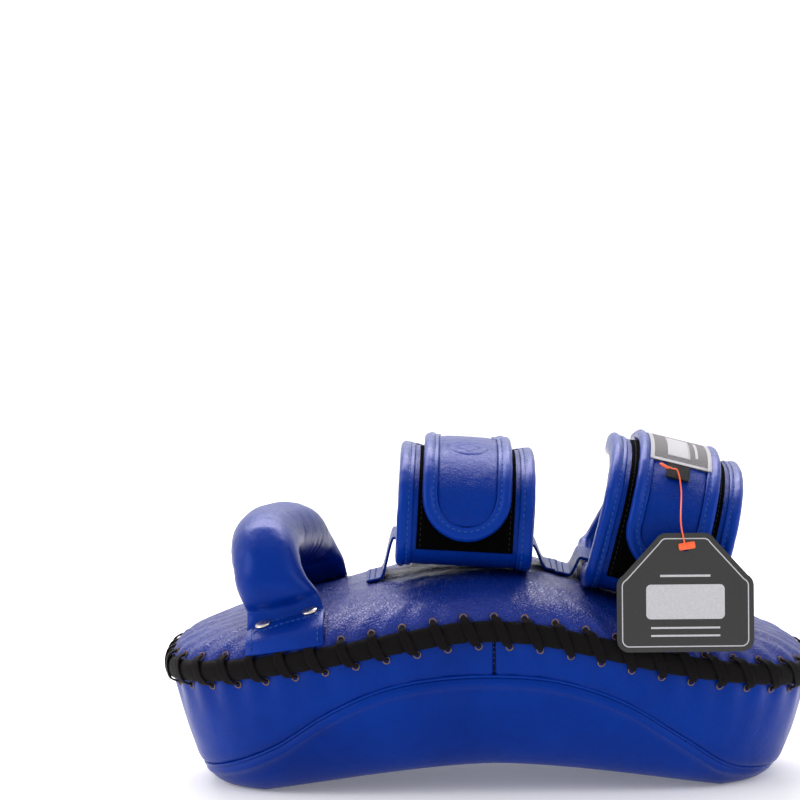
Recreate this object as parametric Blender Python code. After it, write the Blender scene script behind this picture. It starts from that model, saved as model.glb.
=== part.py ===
"""Thai kick pad: a curved leather strike cushion laced round its edge, with a padded grab handle and two forearm cuffs.

Metres, +Z up, X along the pad with the handle at -X, strike face on z = 0. Shapes are worked out in millimetres.
"""

import math

import bmesh
import bpy
import numpy as np
from mathutils import Matrix, Vector

for old in list(bpy.data.objects):
    bpy.data.objects.remove(old, do_unlink=True)

MM = 0.001

# Pad body
HALF_LENGTH = 211.0  # lace line, at the two ends
HALF_WIDTH = 98.0  # lace line, at the two sides
PLAN_POWER = 3.0  # squareness of the plan outline
EDGE_LINE = (  # height of the laced edge along the pad
    (-213.0, 80.0),
    (-157.0, 88.0),
    (-110.0, 96.5),
    (-55.0, 107.5),
    (-14.0, 113.5),
    (25.0, 111.5),
    (64.0, 103.0),
    (104.0, 92.5),
    (143.0, 84.5),
    (182.0, 78.0),
    (213.0, 73.0),
)
CROWN = 28.0  # rise of the padded back above the laced edge
CROWN_POWER = 3.0
ARCH_RISE = 20.0  # hollow of the strike face at mid length
ARCH_HALF = 150.0
REST_INNER = 160.0  # inner edge of the flat the pad rests on at each end
ARCH_POWER = 1.6
SIDE_ROUND = 22.0
SIDE_SLANT = 14.0
SIDE_POWER = 2.6
SEAM_LINE = (  # bow-shaped seam between the gusset and the strike panel
    (-213.0, 9.0),
    (-190.0, 13.0),
    (-143.0, 33.0),
    (-108.0, 57.0),
    (-73.0, 74.0),
    (-38.0, 81.5),
    (10.0, 83.0),
    (45.0, 78.5),
    (84.0, 64.0),
    (123.0, 38.0),
    (155.0, 16.0),
    (184.0, 9.0),
    (213.0, 8.0),
)
LEATHER = 1.8
GAP = 0.35

# Laced edge
STITCHES = 54
HOLE_UP = 9.5
HOLE_DOWN = 10.0
BINDING_SECTION = (  # outward, up, about the laced edge
    (0.45, -6.5),
    (2.7, -5.0),
    (4.1, 0.0),
    (2.7, 5.0),
    (-0.1, 6.7),
    (0.45, 0.5),
)

# Handle
HANDLE_NEAR_X, HANDLE_FAR_X = -138.5, -122.0
HANDLE_LEAN = 10.0
HANDLE_HALF_SPAN = 57.0
HANDLE_TOP = 161.0
HANDLE_RADIUS = 21.0
HANDLE_PIVOT_RISE = 19.0
TAB_NEAR_X, TAB_FAR_X, TAB_HALF = -132.5, -122.0, 25.0
TAB_INNER_Y = 50.0
RIVETS_DX = (-14.0, 16.0)
RIVET_Y = 66.0

# Cuffs
BAND_WIDTH = 88.0
BAND_THICK = 10.0
RING_WIRE = 1.6
RING_REACH = 19.0
RING_HALF = 31.5
CUFF_POWER = 2.4
CUFF_LOW_POWER = 5.0


# ---------------------------------------------------------------- helpers


def curve_through(points, x):
    """A smooth curve through the points, by cubic pieces with averaged slopes."""
    px = np.array([p[0] for p in points], float)
    py = np.array([p[1] for p in points], float)
    step = np.diff(py) / np.diff(px)
    slope = np.concatenate([[step[0]], (step[1:] + step[:-1]) / 2, [step[-1]]])
    x = np.clip(np.asarray(x, float), px[0], px[-1])
    i = np.clip(np.searchsorted(px, x, side="right") - 1, 0, len(px) - 2)
    h = px[i + 1] - px[i]
    t = (x - px[i]) / h
    return (
        (2 * t**3 - 3 * t**2 + 1) * py[i]
        + (t**3 - 2 * t**2 + t) * h * slope[i]
        + (-2 * t**3 + 3 * t**2) * py[i + 1]
        + (t**3 - t**2) * h * slope[i + 1]
    )


def unit(v):
    v = np.asarray(v, float)
    return v / np.maximum(np.linalg.norm(v, axis=-1, keepdims=True), 1e-12)


def material(name, color, roughness, metallic=0.0):
    mat = bpy.data.materials.new(name)
    mat.use_nodes = True
    shader = mat.node_tree.nodes["Principled BSDF"]
    shader.inputs["Base Color"].default_value = (*color, 1.0)
    shader.inputs["Roughness"].default_value = roughness
    shader.inputs["Metallic"].default_value = metallic
    mat.diffuse_color = (*color, 1.0)
    return mat


BLUE = (0.004, 0.042, 0.36)
DARK_BLUE = (0.004, 0.03, 0.24)
BLACK = (0.008, 0.008, 0.009)
FOAM = (0.62, 0.60, 0.52)
FIRM_FOAM = (0.12, 0.12, 0.13)
STEEL = (0.62, 0.60, 0.56)

collection = bpy.data.collections.new("thai_pad")
bpy.context.scene.collection.children.link(collection)
cutters = bpy.data.collections.new("cutters")
bpy.context.scene.collection.children.link(cutters)


def solid(name, verts, faces, color=BLUE, roughness=0.4, metallic=0.0, origin=None, cutter=False):
    """One closed mesh object from points in millimetres."""
    at = np.zeros(3) if origin is None else np.asarray(origin, float)
    mesh = bpy.data.meshes.new(name)
    mesh.from_pydata([tuple((np.asarray(v) - at) * MM) for v in verts], [], faces)
    bm = bmesh.new()
    bm.from_mesh(mesh)
    bmesh.ops.recalc_face_normals(bm, faces=bm.faces)
    if bm.calc_volume(signed=True) < 0:
        bmesh.ops.reverse_faces(bm, faces=bm.faces)
    bm.to_mesh(mesh)
    bm.free()
    ob = bpy.data.objects.new(name, mesh)
    ob.location = tuple(at * MM)
    if cutter:
        ob.hide_render = True
        ob.display_type = "WIRE"
        cutters.objects.link(ob)
    else:
        mesh.materials.append(material(name + "_mat", color, roughness, metallic))
        collection.objects.link(ob)
    return ob


def loft(rings, closed=False):
    """Points and faces of a loft through rings with the same number of points; capped unless closed on itself."""
    verts = [p for ring in rings for p in ring]
    n, rows = len(rings[0]), len(rings)
    faces = []
    for r in range(rows if closed else rows - 1):
        s = (r + 1) % rows
        for i in range(n):
            j = (i + 1) % n
            faces.append((r * n + i, r * n + j, s * n + j, s * n + i))
    if not closed:
        faces.append(tuple(range(n))[::-1])
        faces.append(tuple((rows - 1) * n + i for i in range(n)))
    return verts, faces


def normals_of(grid, closed):
    """Unit normals of a grid of points; rows by columns, columns joined round when closed."""
    if closed:
        du = np.roll(grid, -1, axis=1) - np.roll(grid, 1, axis=1)
    else:
        du = np.gradient(grid, axis=1)
    dv = np.gradient(grid, axis=0)
    return unit(np.cross(du, dv))


def shell(grid, thick, closed, outward):
    """A sheet of even thickness under a grid of outer points. OUTWARD gives a point's rough outward side."""
    nrm = normals_of(grid, closed)
    mid = (grid.shape[0] // 2, grid.shape[1] // 4)
    if np.dot(nrm[mid], outward(grid[mid])) < 0:
        nrm = -nrm
    inner = grid - nrm * thick
    rows, cols = grid.shape[:2]
    verts = list(grid.reshape(-1, 3)) + list(inner.reshape(-1, 3))
    base = rows * cols
    faces = []
    wrap = cols if closed else cols - 1
    for r in range(rows - 1):
        for c in range(wrap):
            d = (c + 1) % cols
            a, b, e, f = r * cols + c, r * cols + d, (r + 1) * cols + d, (r + 1) * cols + c
            faces.append((a, b, e, f))
            faces.append((base + f, base + e, base + b, base + a))
    for c in range(wrap):
        d = (c + 1) % cols
        faces.append((c, base + c, base + d, d))
        last = (rows - 1) * cols
        faces.append((last + d, base + last + d, base + last + c, last + c))
    if not closed:
        for r in range(rows - 1):
            a, b = r * cols, (r + 1) * cols
            faces.append((b, base + b, base + a, a))
            a, b = r * cols + cols - 1, (r + 1) * cols + cols - 1
            faces.append((a, base + a, base + b, b))
    return verts, faces


def disc_shell(grid, pole, thick, up):
    """A shell whose last row closes on a single pole point."""
    full = np.concatenate([grid, np.repeat(pole[None, None, :], grid.shape[1], axis=1)])
    nrm = normals_of(full, True)[:-1]
    if np.dot(nrm[-1, 0], up) < 0:
        nrm = -nrm
    inner = grid - nrm * thick
    inner_pole = pole - np.asarray(up, float) * thick
    rows, cols = grid.shape[:2]
    verts = list(grid.reshape(-1, 3)) + list(inner.reshape(-1, 3)) + [pole, inner_pole]
    base = rows * cols
    faces = []
    for r in range(rows - 1):
        for c in range(cols):
            d = (c + 1) % cols
            a, b, e, f = r * cols + c, r * cols + d, (r + 1) * cols + d, (r + 1) * cols + c
            faces.append((a, b, e, f))
            faces.append((base + f, base + e, base + b, base + a))
    last = (rows - 1) * cols
    for c in range(cols):
        d = (c + 1) % cols
        faces.append((c, base + c, base + d, d))
        faces.append((last + c, last + d, 2 * base))
        faces.append((base + last + d, base + last + c, 2 * base + 1))
    return verts, faces


def slab(rings, pole_low, pole_high):
    """A closed lump from rings, with both ends closed on a pole point."""
    verts = [p for ring in rings for p in ring] + [pole_low, pole_high]
    n, rows = len(rings[0]), len(rings)
    faces = []
    for r in range(rows - 1):
        for i in range(n):
            j = (i + 1) % n
            faces.append((r * n + i, r * n + j, (r + 1) * n + j, (r + 1) * n + i))
    for i in range(n):
        j = (i + 1) % n
        faces.append((j, i, rows * n))
        faces.append(((rows - 1) * n + i, (rows - 1) * n + j, rows * n + 1))
    return verts, faces


def cut(target, cutter):
    mod = target.modifiers.new("cut_" + cutter.name, "BOOLEAN")
    mod.operation = "DIFFERENCE"
    mod.solver = "EXACT"
    mod.object = cutter


# ---------------------------------------------------------------- pad surfaces


def plan(theta, a, b):
    c, s = np.cos(theta), np.sin(theta)
    e = 2.0 / PLAN_POWER
    return a * np.sign(c) * np.abs(c) ** e, b * np.sign(s) * np.abs(s) ** e


def lace_angles(positions):
    """Outline angles at fractions of the way round, from the near side's middle toward +X."""
    theta = np.linspace(-math.pi / 2, 1.5 * math.pi, 40001)
    x, y = plan(theta, HALF_LENGTH, HALF_WIDTH)
    run = np.concatenate([[0], np.cumsum(np.hypot(np.diff(x), np.diff(y)))])
    return np.interp(np.asarray(positions, float) % 1.0 * run[-1], run, theta)


def edge_z(x):
    return curve_through(EDGE_LINE, x)


def arch_z(x):
    return ARCH_RISE * np.maximum(0.0, 1.0 - (np.abs(x) / ARCH_HALF) ** ARCH_POWER)


def dome_rise(rho):
    return CROWN * np.maximum(0.0, 1.0 - np.minimum(rho, 1.0) ** CROWN_POWER) ** (1 / CROWN_POWER)


def dome_rho(rise):
    return (1.0 - (rise / CROWN) ** CROWN_POWER) ** (1 / CROWN_POWER)


def dome_z(x, y):
    rho = ((np.abs(x) / HALF_LENGTH) ** PLAN_POWER + (np.abs(y) / HALF_WIDTH) ** PLAN_POWER) ** (1 / PLAN_POWER)
    return edge_z(x) + dome_rise(rho)


def side(theta, v, inset=0.0):
    """Side skin at outline angle THETA, from the laced edge (v = 0) to the strike face (v = 1)."""
    theta, v = np.broadcast_arrays(np.asarray(theta, float), np.asarray(v, float))
    phi = v * math.pi / 2
    drop = np.sin(phi) ** (2 / SIDE_POWER)
    back = SIDE_ROUND * (1 - np.maximum(np.cos(phi), 0.0) ** (2 / SIDE_POWER)) + SIDE_SLANT * drop + inset
    x, y = plan(theta, HALF_LENGTH - back, HALF_WIDTH - back)
    lace_x = plan(theta, HALF_LENGTH, HALF_WIDTH)[0]
    top = edge_z(lace_x)
    low = arch_z(x) + inset
    return np.stack([x, y, top + (low - top) * drop], axis=-1)


def v_at(theta, height_of, inset=0.0):
    """The v where the side skin passes HEIGHT_OF(x)."""
    lo, hi = np.zeros_like(theta), np.ones_like(theta)
    for _ in range(40):
        mid = (lo + hi) / 2
        p = side(theta, mid, inset)
        high = p[..., 2] > height_of(p[..., 0])
        lo, hi = np.where(high, mid, lo), np.where(high, hi, mid)
    return (lo + hi) / 2


def skin(theta, q):
    """Outer skin near the laced edge: q above it on the back panel, or below it on the gusset."""
    if q >= 0:
        rho = dome_rho(q)
        x, y = plan(theta, HALF_LENGTH * rho, HALF_WIDTH * rho)
        return np.stack([x, y, edge_z(x) + q], axis=-1)
    lace_x = plan(theta, HALF_LENGTH, HALF_WIDTH)[0]
    v = v_at(theta, lambda x: edge_z(lace_x) + q)
    return side(theta, v)


def skin_frame(theta, q):
    """Point, outward normal, tangent round the pad and tangent up, on the skin near the laced edge."""
    theta = np.asarray(theta, float)
    p = skin(theta, q)
    du = unit(skin(theta + 2e-3, q) - skin(theta - 2e-3, q))
    step = 0.6
    dq = unit(skin(theta, q + step) - skin(theta, q - step)) if abs(q) > step else np.array([0, 0, 1.0])
    n = unit(np.cross(du, dq))
    out = p * np.array([1, 1, 0])
    n = np.where((n * out).sum(-1, keepdims=True) < 0, -n, n)
    up = unit(np.cross(n, du))
    up = np.where(up[..., 2:3] < 0, -up, up)
    return p, n, du, up


# ---------------------------------------------------------------- pad cover panels

around = np.arange(STITCHES) / STITCHES
between = (np.arange(STITCHES) + 0.5) / STITCHES

# Back panel
theta = lace_angles(between)
rows = []
for rise in (0.4, 5.4, 12.0):
    rows.append(skin(theta, rise))
for rho in (0.90, 0.79, 0.62, 0.36):
    x, y = plan(theta, HALF_LENGTH * rho, HALF_WIDTH * rho)
    rows.append(np.stack([x, y, dome_z(x, y)], axis=-1))
pole = np.array([0.0, 0.0, float(dome_z(0.0, 0.0))])
back_panel = solid("back_panel", *disc_shell(np.array(rows), pole, LEATHER, (0, 0, 1)), roughness=0.38)

# Strike panel: up the sides to the bow seam, and across the face
theta = lace_angles(around)
lace_x = plan(theta, HALF_LENGTH, HALF_WIDTH)[0]


def seam_z(x):
    return curve_through(SEAM_LINE, x)


SEAM_HALF_GAP = 2.1
v_low = v_at(theta, lambda x: seam_z(x) - SEAM_HALF_GAP)
rows = []
for part in (0.0, 0.34, 0.62, 0.84, 1.0):
    rows.append(side(theta, v_low + (1 - v_low) * part))
foot_a = HALF_LENGTH - SIDE_ROUND - SIDE_SLANT
foot_b = HALF_WIDTH - SIDE_ROUND - SIDE_SLANT
for f in (REST_INNER / foot_a, 0.62, 0.32):
    x, y = plan(theta, foot_a * f, foot_b * f)
    rows.append(np.stack([x, y, arch_z(x)], axis=-1))
strike_panel = solid(
    "strike_panel",
    *disc_shell(np.array(rows), np.array([0.0, 0.0, ARCH_RISE]), LEATHER, (0, 0, -1)),
    roughness=0.35,
)


# Gusset in two halves, joined at a short upright seam on each side
def gusset(name, start, stop):
    ends = 0.5 / 1090.0
    cols = np.concatenate([[start + ends], np.arange(start * STITCHES + 1, stop * STITCHES) / STITCHES, [stop - ends]])
    th = lace_angles(cols)
    lx = plan(th, HALF_LENGTH, HALF_WIDTH)[0]
    top = v_at(th, lambda x: edge_z(lx) - 0.4)
    low = v_at(th, lambda x: seam_z(x) + SEAM_HALF_GAP)
    grid = np.array([side(th, top + (low - top) * f) for f in (0.0, 0.60, 0.80, 1.0)])
    return solid(name, *shell(grid, LEATHER, False, lambda p: p * np.array([1, 1, 0])), roughness=0.36)


gusset_foot = gusset("gusset_foot_end", 0.0, 0.5)
gusset_handle = gusset("gusset_handle_end", 0.5, 1.0)

# Rolled welt along the bow seam
v_mid = v_at(theta, seam_z)
line = side(theta, v_mid)
ahead = side(theta, np.minimum(v_mid + 0.01, 1.0))
tangent = unit(np.roll(line, -1, axis=0) - np.roll(line, 1, axis=0))
down = unit(ahead - line)
normal = unit(np.cross(down, tangent))
normal = np.where((normal * line * np.array([1, 1, 0])).sum(-1, keepdims=True) < 0, -normal, normal)
down = unit(np.cross(normal, tangent))
rings = []
for i in range(STITCHES):
    ring = []
    for k in range(6):
        a = 2 * math.pi * k / 6
        ring.append(line[i] + normal[i] * (1.5 * math.sin(a) + 0.1) + down[i] * 1.5 * math.cos(a))
    rings.append(ring)
solid("seam_welt", *loft(rings, closed=True), color=DARK_BLUE)

# ---------------------------------------------------------------- padding inside

INNER = LEATHER + 1.5
FOAM_COLUMNS = 30
foam_theta = lace_angles(np.arange(FOAM_COLUMNS) / FOAM_COLUMNS)


def v_of_drop(drop):
    return math.asin(drop ** (SIDE_POWER / 2)) / (math.pi / 2)


def level(x, drop, inset):
    return edge_z(x) + (arch_z(x) + inset - edge_z(x)) * drop


def cap(ring, fractions, height):
    """Rings inside RING, each at the height given for its place."""
    rings = []
    for f in fractions:
        x, y = ring[:, 0] * f, ring[:, 1] * f
        rings.append(np.stack([x, y, height(x, y)], axis=-1))
    return rings


def foam_layer(name, top_drop, low_drop, color):
    drops = np.linspace(top_drop, low_drop, 4)
    body = []
    for d in drops:
        ring = side(foam_theta, v_of_drop(min(d, 1.0)), INNER)
        ring[:, 2] = level(ring[:, 0], d, INNER)
        body.append(ring)
    top = cap(body[0], (0.4, 0.72), lambda x, y: level(x, top_drop, INNER))
    low = cap(body[-1], (0.72, 0.4), lambda x, y: level(x, low_drop, INNER))
    rings = top + body + low
    x0 = np.array(0.0)
    solid(
        name,
        *slab(
            rings,
            np.array([0, 0, float(level(x0, top_drop, INNER))]),
            np.array([0, 0, float(level(x0, low_drop, INNER))]),
        ),
        color=color,
        roughness=0.9,
    )


foam_layer("foam_strike_soft", 0.705, 1.0, FOAM)
foam_layer("foam_core_firm", 0.27, 0.685, FIRM_FOAM)

BACK_FOAM_DROP = 0.25
BACK_FOAM_CLEAR = 5.8
low_ring = side(foam_theta, v_of_drop(BACK_FOAM_DROP), INNER)
low_ring[:, 2] = level(low_ring[:, 0], BACK_FOAM_DROP, INNER)
rings = cap(low_ring, (0.4, 0.72), lambda x, y: level(x, BACK_FOAM_DROP, INNER)) + [low_ring]
for inset, rise in ((8.2, -10.0), (9.6, 0.0)):
    x, y = plan(foam_theta, HALF_LENGTH - inset, HALF_WIDTH - inset)
    rings.append(np.stack([x, y, edge_z(x) + rise], axis=-1))
for rho in (0.885, 0.78, 0.6, 0.35):
    x, y = plan(foam_theta, HALF_LENGTH * rho, HALF_WIDTH * rho)
    rings.append(np.stack([x, y, dome_z(x, y) - BACK_FOAM_CLEAR], axis=-1))
solid(
    "foam_back_soft",
    *slab(
        rings,
        np.array([0, 0, float(level(np.array(0.0), BACK_FOAM_DROP, INNER))]),
        np.array([0, 0, float(dome_z(0.0, 0.0)) - BACK_FOAM_CLEAR]),
    ),
    color=FOAM,
    roughness=0.9,
)

# ---------------------------------------------------------------- laced edge


def edge_offset(theta, out, up):
    """A point beside the laced edge, OUT and UP from it."""
    lx = plan(theta, HALF_LENGTH, HALF_WIDTH)[0]
    x, y = plan(theta, HALF_LENGTH + out, HALF_WIDTH + out)
    return np.stack([x, y, edge_z(lx) + up + 0 * x], axis=-1)


ring_theta = lace_angles(np.arange(2 * STITCHES) / (2 * STITCHES))
sections = np.stack([edge_offset(ring_theta, o, u) for o, u in BINDING_SECTION], axis=1)
solid("edge_binding", *loft([list(s) for s in sections], closed=True), color=BLACK, roughness=0.55)


def lace_ring(centre, across, path, inward, half_width, half_thick):
    across = unit(across - np.dot(across, path) * path)
    thick = unit(np.cross(path, across))
    if np.dot(thick, inward) < 0:
        thick = -thick
    return [
        centre + across * half_width + thick * half_thick,
        centre - across * half_width + thick * half_thick,
        centre - across * half_width - thick * half_thick,
        centre + across * half_width - thick * half_thick,
    ]


up_frames = skin_frame(lace_angles(around), HOLE_UP)
low_frames = skin_frame(lace_angles(between), -HOLE_DOWN)
LACE_THICK = 0.55
rings = []
for k in range(STITCHES):
    upper, un, ut, uu = (f[k] for f in up_frames)
    lower, ln, lt, lu = (f[k] for f in low_frames)
    nxt, nn, nt, nu = (f[(k + 1) % STITCHES] for f in up_frames)
    pos = (k + np.array([0.1, 0.25, 0.4])) / STITCHES
    ta, tb, tc = lace_angles(pos)
    over_top = edge_offset(ta, 3.5, 7.7)
    crest = edge_offset(tb, 5.25, 0.0)
    over_low = edge_offset(tc, 3.1, -7.5)
    diag = unit(over_low - over_top)
    out_mid = unit(crest * np.array([1, 1, 0]) * np.array([HALF_WIDTH**2 / HALF_LENGTH**2 * 2, 1, 0]))
    rings.append(lace_ring(upper - un * 0.9, ut, un, -uu, 1.3, LACE_THICK))
    rings.append(lace_ring(over_top, ut, unit(crest - upper), -un - uu, 2.6, LACE_THICK))
    rings.append(lace_ring(crest, ut, diag, -un - ln, 3.0, LACE_THICK))
    rings.append(lace_ring(over_low, lt, unit(lower - crest), -ln + lu, 2.6, LACE_THICK))
    rings.append(lace_ring(lower - ln * 0.9, lt, -ln, lu, 1.3, LACE_THICK))
    inside_low = lower - ln * 3.9 + lu * 2.2 + lt * 1.2
    inside_up = nxt - nn * 4.9 - nu * 2.4 - nt * 1.2
    run = unit(inside_up - inside_low)
    rings.append(lace_ring(inside_low, lt, unit(run - 0.5 * ln), ln, 1.3, LACE_THICK))
    rings.append(lace_ring(inside_up, nt, unit(run + 0.5 * nn), nn, 1.3, LACE_THICK))
solid("edge_lace", *loft(rings, closed=True), color=BLACK, roughness=0.7)


def hole_boxes(name, frames, half_along, half_up, shift):
    verts, faces = [], []
    for p, n, t, u in zip(*frames):
        at = len(verts)
        for dn in (-3.2, 3.2):
            for a, b in ((-1, -1), (1, -1), (1, 1), (-1, 1)):
                verts.append(p + n * dn + t * a * half_along + u * (b * half_up + shift))
        faces += [
            (at, at + 3, at + 2, at + 1),
            (at + 4, at + 5, at + 6, at + 7),
            (at, at + 1, at + 5, at + 4),
            (at + 1, at + 2, at + 6, at + 5),
            (at + 2, at + 3, at + 7, at + 6),
            (at + 3, at, at + 4, at + 7),
        ]
    return solid(name, verts, faces, cutter=True)


cut(back_panel, hole_boxes("upper_holes", up_frames, 2.4, 2.8, -1.0))
lower_holes = hole_boxes("lower_holes", low_frames, 2.3, 2.7, 0.6)
cut(gusset_foot, lower_holes)
cut(gusset_handle, lower_holes)

# ---------------------------------------------------------------- handle tabs, patches and rivets


def dome_frame(x, y):
    e = 0.5
    p = np.array([x, y, float(dome_z(x, y))])
    px = np.array([x + e, y, float(dome_z(x + e, y))]) - np.array([x - e, y, float(dome_z(x - e, y))])
    py = np.array([x, y + e, float(dome_z(x, y + e))]) - np.array([x, y - e, float(dome_z(x, y - e))])
    n = unit(np.cross(px, py))
    return p, n


def outer_y(x, rise):
    return HALF_WIDTH * max(dome_rho(rise) ** PLAN_POWER - (abs(x) / HALF_LENGTH) ** PLAN_POWER, 0.0) ** (1 / PLAN_POWER)


def laid_sheet(name, xs, y_of, offset, thick, color, parts=(0.0, 0.25, 0.5, 0.75, 1.0)):
    """A sheet lying on the back panel, OFFSET above it."""
    low, high = [], []
    for x in xs:
        y0, y1 = y_of(x)
        for f in parts:
            p, n = dome_frame(x, y0 + (y1 - y0) * f)
            low.append(p + n * offset)
            high.append(p + n * (offset + thick))
    cols, rows_n = len(parts), len(xs)
    base = cols * rows_n
    verts = high + low
    faces = []
    for r in range(rows_n - 1):
        for c in range(cols - 1):
            a, b, d, e = r * cols + c, r * cols + c + 1, (r + 1) * cols + c + 1, (r + 1) * cols + c
            faces += [(a, b, d, e), (base + e, base + d, base + b, base + a)]
    border = (
        [c for c in range(cols)]
        + [r * cols + cols - 1 for r in range(1, rows_n)]
        + [(rows_n - 1) * cols + c for c in range(cols - 2, -1, -1)]
        + [r * cols for r in range(rows_n - 2, 0, -1)]
    )
    for i, a in enumerate(border):
        b = border[(i + 1) % len(border)]
        faces.append((b, a, base + a, base + b))
    return solid(name, verts, faces, color=color)


def turned(p, axis, profile, sides):
    """A solid turned about AXIS at P, from (radius, height) points; a radius of 0 closes it."""
    axis = unit(axis)
    e1 = unit(np.cross(axis, np.array([0.0, 1.0, 0.1])))
    e2 = np.cross(axis, e1)
    verts, faces, rows_at = [], [], []
    for r, h in profile:
        if r == 0:
            rows_at.append([len(verts)])
            verts.append(p + axis * h)
        else:
            rows_at.append(list(range(len(verts), len(verts) + sides)))
            for k in range(sides):
                a = 2 * math.pi * k / sides
                verts.append(p + axis * h + e1 * r * math.cos(a) + e2 * r * math.sin(a))
    pairs = list(zip(rows_at, rows_at[1:]))
    if profile[0][0] != 0:
        pairs.append((rows_at[-1], rows_at[0]))
    for a, b in pairs:
        for k in range(sides):
            m = (k + 1) % sides
            if len(a) == 1:
                faces.append((a[0], b[m], b[k]))
            elif len(b) == 1:
                faces.append((a[k], a[m], b[0]))
            else:
                faces.append((a[k], a[m], b[m], b[k]))
    return verts, faces


TAB_LOW, TAB_THICK = 0.9, 2.0
PATCH_LOW, PATCH_THICK = 3.2, 1.2
for word, sign, tab_x in (("near", -1.0, TAB_NEAR_X), ("far", 1.0, TAB_FAR_X)):
    tab = laid_sheet(
        "handle_tab_" + word,
        np.linspace(tab_x - TAB_HALF, tab_x + TAB_HALF, 5),
        lambda x: (sign * TAB_INNER_Y, sign * outer_y(x, 13.2)),
        TAB_LOW,
        TAB_THICK,
        BLUE,
    )
    patch = laid_sheet(
        "handle_patch_" + word,
        np.linspace(tab_x - TAB_HALF + 3.0, tab_x + TAB_HALF - 3.0, 5),
        lambda x: (sign * (TAB_INNER_Y + 9.0), sign * (outer_y(x, 14.6))),
        PATCH_LOW,
        PATCH_THICK,
        BLUE,
    )
    for i, dx in enumerate(RIVETS_DX):
        p, n = dome_frame(tab_x + dx, sign * RIVET_Y)
        number = str(i + 1)
        solid(
            f"rivet_{word}_{number}",
            *turned(p, n, ((0, 6.5), (3.2, 6.2), (5.2, 5.2), (5.2, 4.75), (2.0, 4.75), (2.0, -4.0), (0, -4.0)), 10),
            color=STEEL,
            roughness=0.25,
            metallic=1.0,
        )
        solid(
            f"burr_{word}_{number}",
            *turned(p, n, ((2.35, -2.5), (4.6, -2.5), (4.6, -3.6), (2.35, -3.6)), 10),
            color=STEEL,
            roughness=0.3,
            metallic=1.0,
        )
        drill = solid(
            f"drill_{word}_{number}",
            *turned(p, n, ((0, 6), (2.5, 6), (2.5, -3), (0, -3)), 8),
            cutter=True,
        )
        cut(tab, drill)
        cut(patch, drill)
        cut(back_panel, drill)

# ---------------------------------------------------------------- padded handle

root_clear = TAB_LOW + TAB_THICK + 4.2
near_root_z = float(dome_z(HANDLE_NEAR_X + 8.0, HANDLE_HALF_SPAN)) + root_clear
far_root_z = float(dome_z(HANDLE_FAR_X, HANDLE_HALF_SPAN)) + root_clear
root_z = (near_root_z + far_root_z) / 2
pivot = np.array([(HANDLE_NEAR_X + HANDLE_FAR_X) / 2, 0.0, root_z + HANDLE_PIVOT_RISE])
arch_rise = HANDLE_TOP - root_z
arch_points = (
    (-HANDLE_HALF_SPAN, root_z),
    (-HANDLE_HALF_SPAN - 0.8, root_z + 0.34 * arch_rise),
    (-52.0, root_z + 0.64 * arch_rise),
    (-35.0, root_z + 0.90 * arch_rise),
    (0.0, HANDLE_TOP),
)


def handle_line():
    """Centre line of the handle as dense points, near root to far root."""
    pts = [np.array(p) for p in arch_points]
    pts += [np.array([-p[0], p[1]]) for p in pts[-2::-1]]
    out = []
    for i in range(len(pts) - 1):
        p0 = pts[max(i - 1, 0)]
        p1, p2 = pts[i], pts[i + 1]
        p3 = pts[min(i + 2, len(pts) - 1)]
        for t in np.linspace(0, 1, 40, endpoint=False):
            out.append(
                0.5
                * (
                    2 * p1
                    + (p2 - p0) * t
                    + (2 * p0 - 5 * p1 + 4 * p2 - p3) * t**2
                    + (3 * p1 - p0 - 3 * p2 + p3) * t**3
                )
            )
    out.append(pts[-1])
    return np.array(out)


line = handle_line()
run = np.concatenate([[0], np.cumsum(np.linalg.norm(np.diff(line, axis=0), axis=1))])
total = run[-1]
ends = [0.0, 2.5, 7.0, 13.0, 20.0]
stations = ends + list(np.linspace(20.0, total - 20.0, 10)[1:-1]) + [total - e for e in ends[::-1]]


def handle_centre(s):
    """Centre of the handle at a place along it: it bends towards the cuffs at its far root."""
    y = np.interp(s, run, line[:, 0])
    z = np.interp(s, run, line[:, 1])
    f = np.clip((y + 25.0) / (HANDLE_HALF_SPAN + 25.0), 0, 1)
    x = HANDLE_NEAR_X + (HANDLE_FAR_X - HANDLE_NEAR_X) * f * f * (3 - 2 * f)
    high = np.clip((z - root_z) / arch_rise, 0, 1)
    tilt = (far_root_z - near_root_z) / 2 * np.clip(y / HANDLE_HALF_SPAN, -1, 1) * (1 - high)
    return np.array([x - HANDLE_LEAN * high, y, z + tilt])


def handle_ring(s, shrink, sides):
    c = handle_centre(s)
    t = unit(handle_centre(min(s + 1, total)) - handle_centre(max(s - 1, 0)))
    across = unit(np.array([1.0, 0, 0]) - t[0] * t)
    radial = np.cross(t, across)
    end = min(s, total - s)
    rise = HANDLE_PIVOT_RISE + 0.6
    wide = math.sqrt(max((HANDLE_RADIUS + 0.2) ** 2 - max(rise - end, 0.0) ** 2, 16.0))
    deep = np.interp(end, (0, 7, 20, 34), (6.5, 12.0, 17.5, 20.0))
    ring = []
    for k in range(sides):
        a = 2 * math.pi * (k + 0.5) / sides
        ring.append(c + across * (wide - shrink) * math.cos(a) + radial * (deep - shrink) * math.sin(a))
    return ring


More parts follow.
